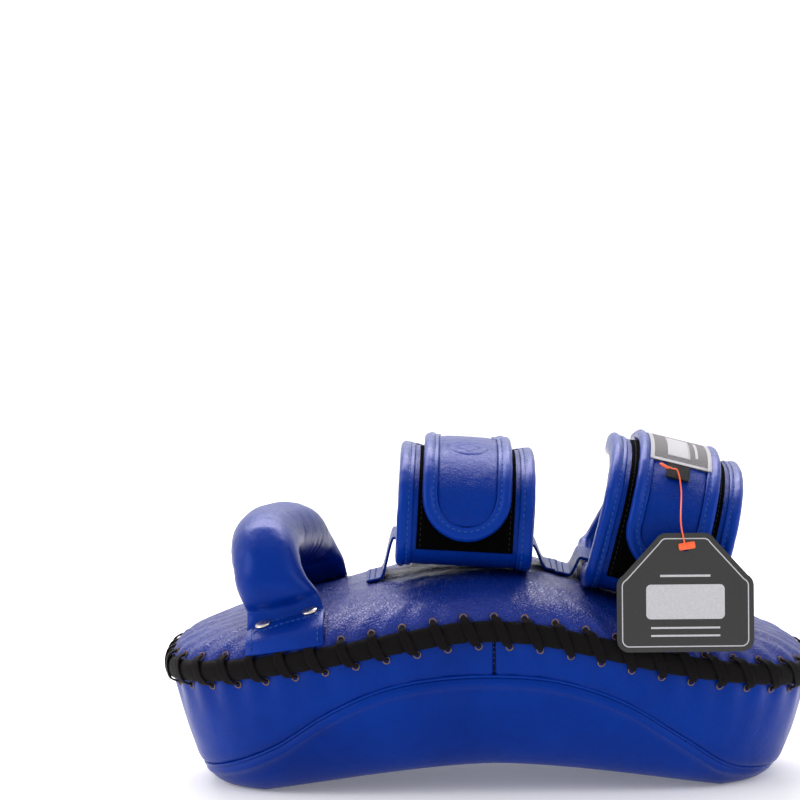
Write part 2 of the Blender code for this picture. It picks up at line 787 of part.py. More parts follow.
HANDLE_SIDES = 12
grid = np.array([handle_ring(s, 0.0, HANDLE_SIDES) for s in stations])
inner = np.array([handle_ring(s, 2.0, HANDLE_SIDES) for s in stations])
rows_n, cols = grid.shape[:2]
verts = list(grid.reshape(-1, 3)) + list(inner.reshape(-1, 3))
base = rows_n * cols
faces = []
for r in range(rows_n - 1):
    for c in range(cols):
        d = (c + 1) % cols
        a, b, e, f = r * cols + c, r * cols + d, (r + 1) * cols + d, (r + 1) * cols + c
        faces += [(a, b, e, f), (base + f, base + e, base + b, base + a)]
for c in range(cols):
    d = (c + 1) % cols
    last = (rows_n - 1) * cols
    faces += [(c, base + c, base + d, d), (last + d, base + last + d, base + last + c, last + c)]
solid("handle_cover", verts, faces, roughness=0.33, origin=pivot)
rings = [handle_ring(s, 4.2, HANDLE_SIDES) for s in stations[2:-2]]
solid("handle_core", *loft(rings), color=FOAM, roughness=0.9, origin=pivot)


# ---------------------------------------------------------------- forearm cuffs


class Path:
    """A line in a cuff's side plane, by arc length, with normals pointing away from the arm."""

    def __init__(self, points, flip=False):
        p = np.array(points, float)
        keep = np.concatenate([[True], np.linalg.norm(np.diff(p, axis=0), axis=1) > 1e-6])
        self.p = p[keep]
        self.s = np.concatenate([[0], np.cumsum(np.linalg.norm(np.diff(self.p, axis=0), axis=1))])
        t = unit(np.gradient(self.p, self.s, axis=0))
        self.n = np.stack([t[:, 1], -t[:, 0]], axis=-1) * (-1 if flip else 1)
        self.length = self.s[-1]

    def at(self, s, out):
        y = np.interp(s, self.s, self.p[:, 0])
        z = np.interp(s, self.s, self.p[:, 1])
        n = unit(np.array([np.interp(s, self.s, self.n[:, 0]), np.interp(s, self.s, self.n[:, 1])]))
        return y + n[0] * out, z + n[1] * out


def spline(points, steps=12):
    pts = [np.array(p, float) for p in points]
    out = []
    for i in range(len(pts) - 1):
        p0 = pts[max(i - 1, 0)]
        p1, p2 = pts[i], pts[i + 1]
        p3 = pts[min(i + 2, len(pts) - 1)]
        for t in np.linspace(0, 1, steps, endpoint=False):
            out.append(
                0.5
                * (
                    2 * p1
                    + (p2 - p0) * t
                    + (2 * p0 - 5 * p1 + 4 * p2 - p3) * t**2
                    + (3 * p1 - p0 - 3 * p2 + p3) * t**3
                )
            )
    out.append(pts[-1])
    return np.array(out)


class Cuff:
    def __init__(self, tag, x, y, half_y, half_z, lean_deg, yaw_deg, flap_root_width, flap_width, flap_end_deg):
        self.tag = tag
        self.a, self.b = half_y, half_z
        self.flap_root_width, self.flap_width = flap_root_width, flap_width
        self.flap_end = flap_end_deg
        turn = Matrix.Rotation(math.radians(yaw_deg), 3, "Z") @ Matrix.Rotation(math.radians(lean_deg), 3, "Y")
        self.turn = np.array(turn)
        self.at = np.array([x, y, 0.0])
        # Raise the cuff until its underside just clears the back panel.
        lift = -1e9
        for xx in np.linspace(-BAND_WIDTH / 2, BAND_WIDTH / 2, 9):
            for deg in range(215, 326, 5):
                yy, zz = self.loop(deg, 1.2)
                q = self.at + self.turn @ np.array([xx, yy, zz])
                lift = max(lift, float(dome_z(q[0], q[1])) + 0.5 - q[2])
        self.at[2] = lift

    def loop(self, deg, out=0.0):
        def outline(d):
            a = math.radians(d)
            c, s = math.cos(a), math.sin(a)
            e = 2 / (CUFF_POWER if s >= 0 else CUFF_LOW_POWER)
            return np.array([self.a * math.copysign(abs(c) ** e, c), self.b + self.b * math.copysign(abs(s) ** e, s)])

        p = outline(deg)
        t = unit(outline(deg + 0.5) - outline(deg - 0.5))
        n = np.array([t[1], -t[0]])
        return p + n * out

    def world(self, x, y, z):
        return self.at + self.turn @ np.array([x, y, z])

    def sweep(self, path, stations, section):
        """Rings along PATH: SECTION gives (across, out) corners at a station."""
        rings = []
        for s in stations:
            ring = []
            for x, out in section(s):
                y, z = path.at(s, out)
                ring.append(self.world(x, y, z))
            rings.append(ring)
        return rings


def arc_points(cuff, start, stop):
    return [cuff.loop(d) for d in np.linspace(start, stop, 181)]


def build_cuff(cuff):
    tag = cuff.tag
    start, stop = 42.0, 366.0
    band = Path(arc_points(cuff, start, stop))
    n = 24
    stations = list(np.linspace(0, band.length, n))

    def width(s):
        from_top, from_far = s, band.length - s
        return min(
            np.interp(from_top, (0, 26), (61.0, BAND_WIDTH)),
            np.interp(from_far, (0, 55), (58.0, BAND_WIDTH)),
        )

    def strip(name, out_low, out_high, margin, color, rough=0.4):
        def section(s):
            w = width(s) / 2 - margin
            return ((-w, out_high), (w, out_high), (w, out_low), (-w, out_low))

        solid(f"cuff_{tag}_{name}", *loft(cuff.sweep(band, stations, section)), color=color, roughness=rough)

    strip("cover", -2.0, 0.0, 1.9, BLUE)
    strip("foam", -7.7, -2.3, 1.9, FOAM, 0.9)
    strip("lining", -BAND_THICK, -8.0, 1.9, DARK_BLUE, 0.6)
    for word, sign in (("a", -1.0), ("b", 1.0)):

        def channel(s):
            w = width(s) / 2
            edge = [(w, 1.1), (w, -11.1), (w - 8, -11.1), (w - 8, -10.3), (w - 1.2, -10.3), (w - 1.2, 0.3), (w - 8, 0.3), (w - 8, 1.1)]
            return [(x * sign, o) for x, o in edge]

        solid(f"cuff_{tag}_binding_{word}", *loft(cuff.sweep(band, stations, channel)), color=BLUE, roughness=0.35)

    # Loop-pile patch from the top of the cuff down its near side
    pile_start = next(s for s, p in zip(band.s, band.p) if p[0] < 6.0)
    pile_stop = next(s for s, p in zip(band.s, band.p) if p[0] < -cuff.a * 0.5 and p[1] < 14.0)
    pile_stations = [s for s in stations if pile_start <= s <= pile_stop]
    solid(
        f"cuff_{tag}_loop_patch",
        *loft(cuff.sweep(band, pile_stations, lambda s: ((-31, 1.4), (31, 1.4), (31, 0.3), (-31, 0.3)))),
        color=BLACK,
        roughness=0.95,
    )

    # Ring: inner bar in the keeper at the band's end, outer bar inside the strap's fold
    y0, z0 = band.at(0.0, -2.6)
    t = unit(band.p[0] - band.p[3])
    inner_bar = np.array([y0, z0]) + t * 6.4
    outer_bar = inner_bar + RING_REACH * unit(np.array([0.985, 0.17]))
    cuff.inner_bar, cuff.outer_bar = inner_bar, outer_bar
    u = unit(outer_bar - inner_bar)
    corners = []
    r = 4.0
    for cx, along, turn_from in (
        (RING_HALF - r, RING_REACH - r, 0),
        (-(RING_HALF - r), RING_REACH - r, 90),
        (-(RING_HALF - r), r, 180),
        (RING_HALF - r, r, 270),
    ):
        for k in range(4):
            a = math.radians(turn_from + 30 * k)
            corners.append((cx + r * math.cos(a), along + r * math.sin(a)))
    m = len(corners)
    w_axis = np.array([-u[1], u[0]])
    rings = []
    for i, (x, al) in enumerate(corners):
        px, pa = corners[(i + 1) % m][0] - corners[i - 1][0], corners[(i + 1) % m][1] - corners[i - 1][1]
        length = math.hypot(px, pa)
        nx, na = pa / length, -px / length
        ring = []
        for k in range(8):
            b = 2 * math.pi * k / 8
            dx = nx * RING_WIRE * math.cos(b)
            da = na * RING_WIRE * math.cos(b)
            dw = RING_WIRE * math.sin(b)
            q = inner_bar + u * (al + da) + w_axis * dw
            ring.append(cuff.world(x + dx, q[0], q[1]))
        rings.append(ring)
    hinge_in = cuff.world(0, *inner_bar)
    solid(f"cuff_{tag}_ring", *loft(rings, closed=True), color=STEEL, roughness=0.25, metallic=1.0, origin=hinge_in)

    # Keeper: sewn to the band's end, wrapped round the inner bar
    radius = 2.3
    tail_n = band.n[0]
    loop_pts = []
    a0 = math.atan2(tail_n[1], tail_n[0])
    for k in range(9):
        a = a0 - math.radians(205.0) * k / 8
        loop_pts.append(inner_bar + radius * np.array([math.cos(a), math.sin(a)]))
    on_band = [np.array(band.at(s, 1.3)) for s in (20.0, 13.0, 6.0, 0.5)]
    keeper_path = Path(spline(on_band + loop_pts, 4), flip=True)
    ks = list(np.linspace(0, keeper_path.length, 15))
    solid(
        f"cuff_{tag}_keeper",
        *loft(cuff.sweep(keeper_path, ks, lambda s: ((-21, 1.4), (21, 1.4), (21, 0.0), (-21, 0.0)))),
        color=BLUE,
    )

    # Strap: sewn up the far side, through the ring and folded over its outer bar
    far = [cuff.loop(d) for d in np.linspace(328.0, 364.0, 13)]
    fold = [outer_bar + 2.5 * np.array([math.cos(a), math.sin(a)]) for a in np.radians(np.linspace(-25.0, 90.0, 13))]
    leave, arrive = unit(far[-1] - far[-2]), unit(fold[1] - fold[0])
    reach = float(np.linalg.norm(fold[0] - far[-1])) / 3
    bend = [far[-1], far[-1] + leave * reach, fold[0] - arrive * reach, fold[0]]
    rise = [
        (1 - t) ** 3 * bend[0] + 3 * (1 - t) ** 2 * t * bend[1] + 3 * (1 - t) * t**2 * bend[2] + t**3 * bend[3]
        for t in np.linspace(0, 1, 15)[1:-1]
    ]
    strap_path = Path(far + rise + fold)
    fold_at = strap_path.length - math.radians(115.0) * 2.5
    ss = list(np.linspace(0, fold_at, 10)) + list(np.linspace(fold_at, strap_path.length, 7))[1:]
    solid(
        f"cuff_{tag}_strap",
        *loft(cuff.sweep(strap_path, ss, lambda s: ((-25, 3.6), (25, 3.6), (25, 1.6), (-25, 1.6)))),
        color=BLUE,
    )

    # Closing flap: from above the fold, over the top, down the near side to a round end
    root = outer_bar + np.array([0.0, 5.6])
    over = [cuff.loop(d) for d in np.arange(66.0, cuff.flap_end + 0.1, 3.0)]
    flap_path = Path(spline([root + np.array([2.0, -0.2]), root + np.array([-6.0, 0.6])] + over, 6))
    cuff.flap_path = flap_path
    hinge_out = cuff.world(0, *outer_bar)
    length = flap_path.length
    R = cuff.flap_width / 2

    def half(s):
        """Half width of the flap at a place along it, round at the end."""
        w = np.interp(s, (0, 45), (cuff.flap_root_width / 2, R))
        left = length - s
        if left < R:
            w = math.sqrt(max(R * R - (R - left) ** 2, 0.0))
        return w

    straight = list(np.linspace(2, length - R, 16))
    turn_angles = [math.pi * k / 12 for k in range(1, 12)]
    stations = straight + [length - R + R * math.sin(a) for a in turn_angles[:5]]

    def flap_piece(name, margin, low, high, color, rough, first_s=2.0, top=None):
        st = [s for s in stations if s >= first_s and length - s > 0]

        def section(s):
            w = max(half(min(s, length - 0.5)) - margin - (1.3 if s > length - R else 0.0), 2.0)
            return ((-w, high), (w, high), (w, low), (-w, low))

        st = [s for s in st if s < length - margin - 0.4]
        solid(f"flap_{tag}_{name}", *loft(cuff.sweep(flap_path, st, section)), color=color, roughness=rough, origin=hinge_out)

    flap_piece("cover", 2.3, 3.9, 5.8, BLUE, 0.35)
    flap_piece("hook_patch", 10.0, 2.4, 3.4, BLACK, 0.95, first_s=length * 0.45)

    # Binding folded round the flap's edge: along one side, round the end and back
    outline = [(half(s), s) for s in straight]
    for a in turn_angles:
        outline.append((R * math.cos(a), length - R + R * math.sin(a)))
    outline += [(-half(s), s) for s in straight[::-1]]
    rings = []
    m = len(outline)
    for i in range(m):
        x0, s0 = outline[max(i - 1, 0)]
        x1, s1 = outline[min(i + 1, m - 1)]
        tx, ts = x1 - x0, s1 - s0
        d = math.hypot(tx, ts)
        ix, iz = -ts / d, tx / d
        ring = []
        for inward, out in ((0, 7.2), (0, 2.4), (6.0, 2.4), (6.0, 3.4), (1.3, 3.4), (1.3, 6.3), (6.5, 6.3), (6.5, 7.2)):
            x = outline[i][0] + ix * inward
            s = outline[i][1] + iz * inward
            y, z = flap_path.at(s, out)
            ring.append(cuff.world(x, y, z))
        rings.append(ring)
    solid(f"flap_{tag}_binding", *loft(rings), color=BLUE, roughness=0.3, origin=hinge_out)
    cuff.hinge_in, cuff.hinge_out = hinge_in, hinge_out
    cuff.flap_half = half


def anchor_strip(cuff):
    """Leather strip through the foot of a cuff, sewn to the back panel on both sides of it."""
    xs = [-61.0, -55.0, -51.0, -46.5, 0.0, 46.5, 51.0, 55.0, 61.0]
    ys = np.linspace(-24.0, 24.0, 4)
    low, high = [], []
    for x in xs:
        for y in ys:
            inner_z = cuff.b - cuff.b * (1 - (abs(y) / cuff.a) ** CUFF_LOW_POWER) ** (1 / CUFF_LOW_POWER) + 11.9
            raised = cuff.world(x, y, inner_z)
            p, nrm = dome_frame(raised[0], raised[1])
            on_pad = p + nrm * 0.5
            f = np.interp(abs(x), (46.5, 55.0), (1.0, 0.0))
            q = raised * f + on_pad * (1 - f)
            up = unit(cuff.turn @ np.array([0, 0, 1.0]) * f + nrm * (1 - f))
            low.append(q)
            high.append(q + up * 1.8)
    cols, rows_n = len(ys), len(xs)
    base = cols * rows_n
    faces = []
    for r in range(rows_n - 1):
        for c in range(cols - 1):
            a, b, d, e = r * cols + c, r * cols + c + 1, (r + 1) * cols + c + 1, (r + 1) * cols + c
            faces += [(a, b, d, e), (base + e, base + d, base + b, base + a)]
    border = (
        list(range(cols))
        + [r * cols + cols - 1 for r in range(1, rows_n)]
        + [(rows_n - 1) * cols + c for c in range(cols - 2, -1, -1)]
        + [r * cols for r in range(rows_n - 2, 0, -1)]
    )
    for i, a in enumerate(border):
        b = border[(i + 1) % len(border)]
        faces.append((b, a, base + a, base + b))
    solid(f"cuff_{cuff.tag}_anchor", high + low, faces, color=BLUE)


cuff_1 = Cuff("1", -19.0, 14.0, 68.0, 35.5, 3.5, 0.0, 53.0, 57.0, 187.0)
cuff_2 = Cuff("2", 101.5, 8.0, 77.0, 46.5, 14.0, -1.0, 50.0, 54.0, 190.0)
for cuff in (cuff_1, cuff_2):
    build_cuff(cuff)
    anchor_strip(cuff)

# ---------------------------------------------------------------- label, size tab and hang tag on the lower cuff


def on_flap(cuff, s, x, out):
    y, z = cuff.flap_path.at(s, out)
    return cuff.world(x, y, z)


path = cuff_2.flap_path
top_s = path.s[int(np.argmax(path.p[:, 1]))]
LABEL_HALF = 20.5
LABEL_START, LABEL_LENGTH = top_s - 14.0, 66.0
rings = [
    [on_flap(cuff_2, s, x, o) for x, o in ((-LABEL_HALF, 6.9), (LABEL_HALF, 6.9), (LABEL_HALF, 6.2), (-LABEL_HALF, 6.2))]
    for s in np.linspace(LABEL_START, LABEL_START + LABEL_LENGTH, 9)
]
solid("woven_label", *loft(rings), color=(0.3, 0.3, 0.31), roughness=0.7, origin=cuff_2.hinge_out)
tab_s = LABEL_START + LABEL_LENGTH + 0.6
rings = [
    [on_flap(cuff_2, s, x, o) for x, o in ((-9, 6.9), (6, 6.9), (6, 6.2), (-9, 6.2))]
    for s in np.linspace(tab_s, tab_s + 14.0, 4)
]
solid("size_tab", *loft(rings), color=BLACK, roughness=0.8, origin=cuff_2.hinge_out)

# Hang tag: a stiff card leaning on the cuff, its foot just above the laced edge
TAG_X = 121.5
TAG_FOOT = np.array([TAG_X, -103.0, 98.0])
TAG_HEAD = np.array([TAG_X, -91.0, 175.0])
tag_up = unit(TAG_HEAD - TAG_FOOT)
tag_across = np.array([1.0, 0.0, 0.0])
tag_out = unit(np.cross(tag_across, tag_up))
if tag_out[1] > 0:
    tag_out = -tag_out
tag_height = float(np.linalg.norm(TAG_HEAD - TAG_FOOT))
hole_at = tag_height - 9.0
TAG_THICK = 1.2
outline = []
for cx, cz, first in ((36.0, 10.0, -90), (36.0, 44.0, 0), (12.0, tag_height - 8.0, 30)):
    for k in range(4):
        a = math.radians(first + (90 if first < 30 else 60) * k / 3)
        r = 8.0
        outline.append((cx + r * math.cos(a), max(cz + r * math.sin(a), 0.0)))
outline += [(-x, z) for x, z in outline[::-1]]
hinge_tag = TAG_FOOT + tag_up * hole_at
hole = [(3.0 * math.cos(2 * math.pi * k / len(outline) - math.pi / 2 + 0.13), hole_at + 3.0 * math.sin(2 * math.pi * k / len(outline) - math.pi / 2 + 0.13)) for k in range(len(outline))]
front = [TAG_FOOT + tag_across * x + tag_up * z + tag_out * TAG_THICK for x, z in outline]
front_hole = [TAG_FOOT + tag_across * x + tag_up * z + tag_out * TAG_THICK for x, z in hole]
rear = [TAG_FOOT + tag_across * x + tag_up * z for x, z in outline]
rear_hole = [TAG_FOOT + tag_across * x + tag_up * z for x, z in hole]
solid("hang_tag", *loft([front, front_hole, rear_hole, rear], closed=True), color=BLACK, roughness=0.3, origin=hinge_tag)

# Plastic tag pin: bar behind the size tab, filament, and a button in front of the card
start_point = on_flap(cuff_2, tab_s + 9.0, -2.0, 9.4)
points = [
    on_flap(cuff_2, tab_s + 4.0, -6.0, 8.8),
    start_point,
    on_flap(cuff_2, tab_s + 22.0, 2.0, 9.0),
    hinge_tag + tag_up * 16.0 + tag_out * 5.5 - tag_across * 3.0,
    hinge_tag + tag_up * 4.0 + tag_out * 4.6 - tag_across * 1.0,
    hinge_tag + tag_out * 3.6,
    hinge_tag + tag_out * 0.6,
    hinge_tag - tag_out * 1.6,
]
radii = (1.0, 0.55, 0.55, 0.55, 0.55, 0.8, 0.8, 0.8)
rings = []
for i, (p, r) in enumerate(zip(points, radii)):
    t = unit(points[min(i + 1, len(points) - 1)] - points[max(i - 1, 0)])
    e1 = unit(np.cross(t, np.array([1.0, 0.2, 0.1])))
    e2 = np.cross(t, e1)
    rings.append([p + e1 * r * math.cos(2 * math.pi * k / 6) + e2 * r * math.sin(2 * math.pi * k / 6) for k in range(6)])
solid("tag_pin", *loft(rings), color=(0.9, 0.12, 0.02), roughness=0.5, origin=cuff_2.hinge_out)

for label, cuff in (("cuff_1", cuff_1), ("cuff_2", cuff_2)):
    axis = -(cuff.turn @ np.array([1.0, 0, 0]))
    print(label, "ring pivot", np.round(cuff.hinge_in * MM, 5), "flap pivot", np.round(cuff.hinge_out * MM, 5), "axis", np.round(axis, 6), "at", np.round(cuff.at * MM, 5))
print("handle pivot", np.round(pivot * MM, 5), "tag pivot", np.round(hinge_tag * MM, 5))
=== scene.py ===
import math

import bmesh
import bpy
import numpy as np
from mathutils import Matrix, Vector, noise


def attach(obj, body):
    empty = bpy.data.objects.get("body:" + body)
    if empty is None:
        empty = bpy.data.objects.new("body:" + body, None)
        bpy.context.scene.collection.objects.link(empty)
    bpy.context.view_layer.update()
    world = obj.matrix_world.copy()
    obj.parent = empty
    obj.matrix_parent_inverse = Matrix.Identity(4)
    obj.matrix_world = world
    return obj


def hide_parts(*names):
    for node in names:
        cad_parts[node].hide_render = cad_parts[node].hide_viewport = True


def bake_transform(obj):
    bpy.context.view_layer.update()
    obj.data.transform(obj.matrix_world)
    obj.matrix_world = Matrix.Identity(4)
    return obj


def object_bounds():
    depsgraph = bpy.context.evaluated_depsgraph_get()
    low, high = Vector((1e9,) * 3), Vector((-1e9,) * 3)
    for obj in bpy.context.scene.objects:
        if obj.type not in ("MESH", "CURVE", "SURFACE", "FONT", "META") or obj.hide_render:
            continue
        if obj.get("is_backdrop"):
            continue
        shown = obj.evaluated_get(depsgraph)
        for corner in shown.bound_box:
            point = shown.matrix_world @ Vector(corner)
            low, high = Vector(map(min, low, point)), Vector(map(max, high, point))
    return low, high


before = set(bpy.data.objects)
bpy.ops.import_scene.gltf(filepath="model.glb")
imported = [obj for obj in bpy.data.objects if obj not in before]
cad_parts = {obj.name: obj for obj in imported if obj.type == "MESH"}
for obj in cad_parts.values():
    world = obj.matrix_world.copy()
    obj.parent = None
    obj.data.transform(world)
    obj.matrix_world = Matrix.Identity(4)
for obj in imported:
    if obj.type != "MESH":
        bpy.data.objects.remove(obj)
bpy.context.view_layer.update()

MM = 0.001

# ---------------------------------------------------------------- dimensions shared with the CAD, in millimetres

HALF_LENGTH, HALF_WIDTH, PLAN_POWER = 211.0, 98.0, 3.0
EDGE_LINE = (
    (-213.0, 80.0), (-157.0, 88.0), (-110.0, 96.5), (-55.0, 107.5), (-14.0, 113.5), (25.0, 111.5),
    (64.0, 103.0), (104.0, 92.5), (143.0, 84.5), (182.0, 78.0), (213.0, 73.0),
)
CROWN, CROWN_POWER = 28.0, 3.0
ARCH_RISE, ARCH_HALF, ARCH_POWER = 20.0, 150.0, 1.6
SIDE_ROUND, SIDE_SLANT, SIDE_POWER = 22.0, 14.0, 2.6
SEAM_LINE = (
    (-213.0, 9.0), (-190.0, 13.0), (-143.0, 33.0), (-108.0, 57.0), (-73.0, 74.0), (-38.0, 81.5), (10.0, 83.0),
    (45.0, 78.5), (84.0, 64.0), (123.0, 38.0), (155.0, 16.0), (184.0, 9.0), (213.0, 8.0),
)
STITCHES, HOLE_UP, HOLE_DOWN = 54, 9.5, 10.0
HANDLE_NEAR_X, HANDLE_FAR_X, HANDLE_LEAN, HANDLE_HALF_SPAN, HANDLE_TOP = -138.5, -122.0, 10.0, 57.0, 161.0
TAB_NEAR_X, TAB_FAR_X, TAB_HALF, TAB_INNER_Y = -132.5, -122.0, 25.0, 50.0
RIVETS_DX, RIVET_Y = (-14.0, 16.0), 66.0
BAND_WIDTH, BAND_THICK, CUFF_POWER, CUFF_LOW_POWER = 88.0, 10.0, 2.4, 5.0
RING_WIRE, RING_REACH, RING_HALF = 1.6, 19.0, 31.5


def unit(v):
    v = np.asarray(v, float)
    return v / np.maximum(np.linalg.norm(v, axis=-1, keepdims=True), 1e-12)


def curve_through(points, x):
    px = np.array([p[0] for p in points], float)
    py = np.array([p[1] for p in points], float)
    step = np.diff(py) / np.diff(px)
    slope = np.concatenate([[step[0]], (step[1:] + step[:-1]) / 2, [step[-1]]])
    x = np.clip(np.asarray(x, float), px[0], px[-1])
    i = np.clip(np.searchsorted(px, x, side="right") - 1, 0, len(px) - 2)
    h = px[i + 1] - px[i]
    t = (x - px[i]) / h
    return (
        (2 * t**3 - 3 * t**2 + 1) * py[i] + (t**3 - 2 * t**2 + t) * h * slope[i]
        + (-2 * t**3 + 3 * t**2) * py[i + 1] + (t**3 - t**2) * h * slope[i + 1]
    )


def plan(theta, a, b):
    c, s = np.cos(theta), np.sin(theta)
    e = 2.0 / PLAN_POWER
    return a * np.sign(c) * np.abs(c) ** e, b * np.sign(s) * np.abs(s) ** e


def lace_angles(positions):
    theta = np.linspace(-math.pi / 2, 1.5 * math.pi, 40001)
    x, y = plan(theta, HALF_LENGTH, HALF_WIDTH)
    run = np.concatenate([[0], np.cumsum(np.hypot(np.diff(x), np.diff(y)))])
    return np.interp(np.asarray(positions, float) % 1.0 * run[-1], run, theta)


def edge_z(x):
    return curve_through(EDGE_LINE, x)


def seam_z(x):
    return curve_through(SEAM_LINE, x)


def arch_z(x):
    return ARCH_RISE * np.maximum(0.0, 1.0 - (np.abs(x) / ARCH_HALF) ** ARCH_POWER)


def dome_rise(rho):
    return CROWN * np.maximum(0.0, 1.0 - np.minimum(rho, 1.0) ** CROWN_POWER) ** (1 / CROWN_POWER)


def dome_rho(rise):
    return (1.0 - (rise / CROWN) ** CROWN_POWER) ** (1 / CROWN_POWER)


def dome_z(x, y):
    rho = ((np.abs(x) / HALF_LENGTH) ** PLAN_POWER + (np.abs(y) / HALF_WIDTH) ** PLAN_POWER) ** (1 / PLAN_POWER)
    return edge_z(x) + dome_rise(rho)


def side(theta, v):
    theta, v = np.broadcast_arrays(np.asarray(theta, float), np.asarray(v, float))
    phi = v * math.pi / 2
    drop = np.sin(phi) ** (2 / SIDE_POWER)
    back = SIDE_ROUND * (1 - np.maximum(np.cos(phi), 0.0) ** (2 / SIDE_POWER)) + SIDE_SLANT * drop
    x, y = plan(theta, HALF_LENGTH - back, HALF_WIDTH - back)
    lace_x = plan(theta, HALF_LENGTH, HALF_WIDTH)[0]
    top = edge_z(lace_x)
    return np.stack([x, y, top + (arch_z(x) - top) * drop], axis=-1)


def v_at(theta, height_of):
    lo, hi = np.zeros_like(theta), np.ones_like(theta)
    for _ in range(40):
        mid = (lo + hi) / 2
        p = side(theta, mid)
        high = p[..., 2] > height_of(p[..., 0])
        lo, hi = np.where(high, mid, lo), np.where(high, hi, mid)
    return (lo + hi) / 2


def skin(theta, q):
    if q >= 0:
        rho = dome_rho(q)
        x, y = plan(theta, HALF_LENGTH * rho, HALF_WIDTH * rho)
        return np.stack([x, y, edge_z(x) + q], axis=-1)
    lace_x = plan(theta, HALF_LENGTH, HALF_WIDTH)[0]
    return side(theta, v_at(theta, lambda x: edge_z(lace_x) + q))


def skin_frame(theta, q):
    theta = np.asarray(theta, float)
    p = skin(theta, q)
    du = unit(skin(theta + 2e-3, q) - skin(theta - 2e-3, q))
    step = 0.6
    dq = unit(skin(theta, q + step) - skin(theta, q - step))
    n = unit(np.cross(du, dq))
    n = np.where((n * p * np.array([1, 1, 0])).sum(-1, keepdims=True) < 0, -n, n)
    up = unit(np.cross(n, du))
    up = np.where(up[..., 2:3] < 0, -up, up)
    return p, n, du, up


def edge_offset(theta, out, up):
    lx = plan(theta, HALF_LENGTH, HALF_WIDTH)[0]
    x, y = plan(theta, HALF_LENGTH + out, HALF_WIDTH + out)
    return np.stack([x, y, edge_z(lx) + up + 0 * x], axis=-1)


def dome_frame(x, y):
    e = 0.5
    p = np.array([x, y, float(dome_z(x, y))])
    px = np.array([2 * e, 0, float(dome_z(x + e, y) - dome_z(x - e, y))])
    py = np.array([0, 2 * e, float(dome_z(x, y + e) - dome_z(x, y - e))])
    return p, unit(np.cross(px, py)), unit(px)


def outer_y(x, rise):
    return HALF_WIDTH * max(dome_rho(rise) ** PLAN_POWER - (abs(x) / HALF_LENGTH) ** PLAN_POWER, 0.0) ** (1 / PLAN_POWER)


# ---------------------------------------------------------------- materials


class Nodes:
    def __init__(self, name):
        self.mat = bpy.data.materials.new(name)
        self.mat.use_nodes = True
        self.t = self.mat.node_tree
        self.shader = self.t.nodes["Principled BSDF"]

    def new(self, kind, **values):
        n = self.t.nodes.new(kind)
        for k, v in values.items():
            if k in n.inputs:
                n.inputs[k].default_value = v
            else:
                setattr(n, k, v)
        return n

    def link(self, a, b):
        self.t.links.new(a, b)

    def coords(self, scale=(1, 1, 1)):
        tc = self.new("ShaderNodeTexCoord")
        mp = self.new("ShaderNodeMapping")
        mp.inputs["Scale"].default_value = scale
        self.link(tc.outputs["Object"], mp.inputs["Vector"])
        return mp.outputs["Vector"]

    def noise(self, vec, scale, detail=3.0, rough=0.55, distortion=0.0):
        n = self.new("ShaderNodeTexNoise")
        n.inputs["Scale"].default_value = scale
        n.inputs["Detail"].default_value = detail
        n.inputs["Roughness"].default_value = rough
        n.inputs["Distortion"].default_value = distortion
        self.link(vec, n.inputs["Vector"])
        return n.outputs["Fac"]

    def ramp(self, fac, stops):
        r = self.new("ShaderNodeValToRGB")
        els = r.color_ramp.elements
        while len(els) < len(stops):
            els.new(0.5)
        for el, (pos, col) in zip(els, stops):
            el.position = pos
            el.color = (*col, 1.0) if len(col) == 3 else col
        self.link(fac, r.inputs["Fac"])
        return r.outputs["Color"]

    def spread(self, fac, low, high, frm=(0.3, 0.7)):
        m = self.new("ShaderNodeMapRange")
        m.inputs["From Min"].default_value, m.inputs["From Max"].default_value = frm
        m.inputs["To Min"].default_value, m.inputs["To Max"].default_value = low, high
        self.link(fac, m.inputs["Value"])
        return m.outputs["Result"]

    def bump(self, height, strength, distance, normal=None):
        b = self.new("ShaderNodeBump")
        b.inputs["Strength"].default_value = strength
        b.inputs["Distance"].default_value = distance
        self.link(height, b.inputs["Height"])
        if normal is not None:
            self.link(normal, b.inputs["Normal"])
        return b.outputs["Normal"]

    def mix(self, fac, a, b, mode="MIX"):
        m = self.new("ShaderNodeMixRGB", blend_type=mode)
        for s, v in zip(m.inputs, (fac, a, b)):
            if hasattr(v, "is_linked") or hasattr(v, "links"):
                self.link(v, s)
            elif isinstance(v, (tuple, list)):
                s.default_value = (*v, 1.0)
            else:
                s.default_value = v
        return m.outputs["Color"]


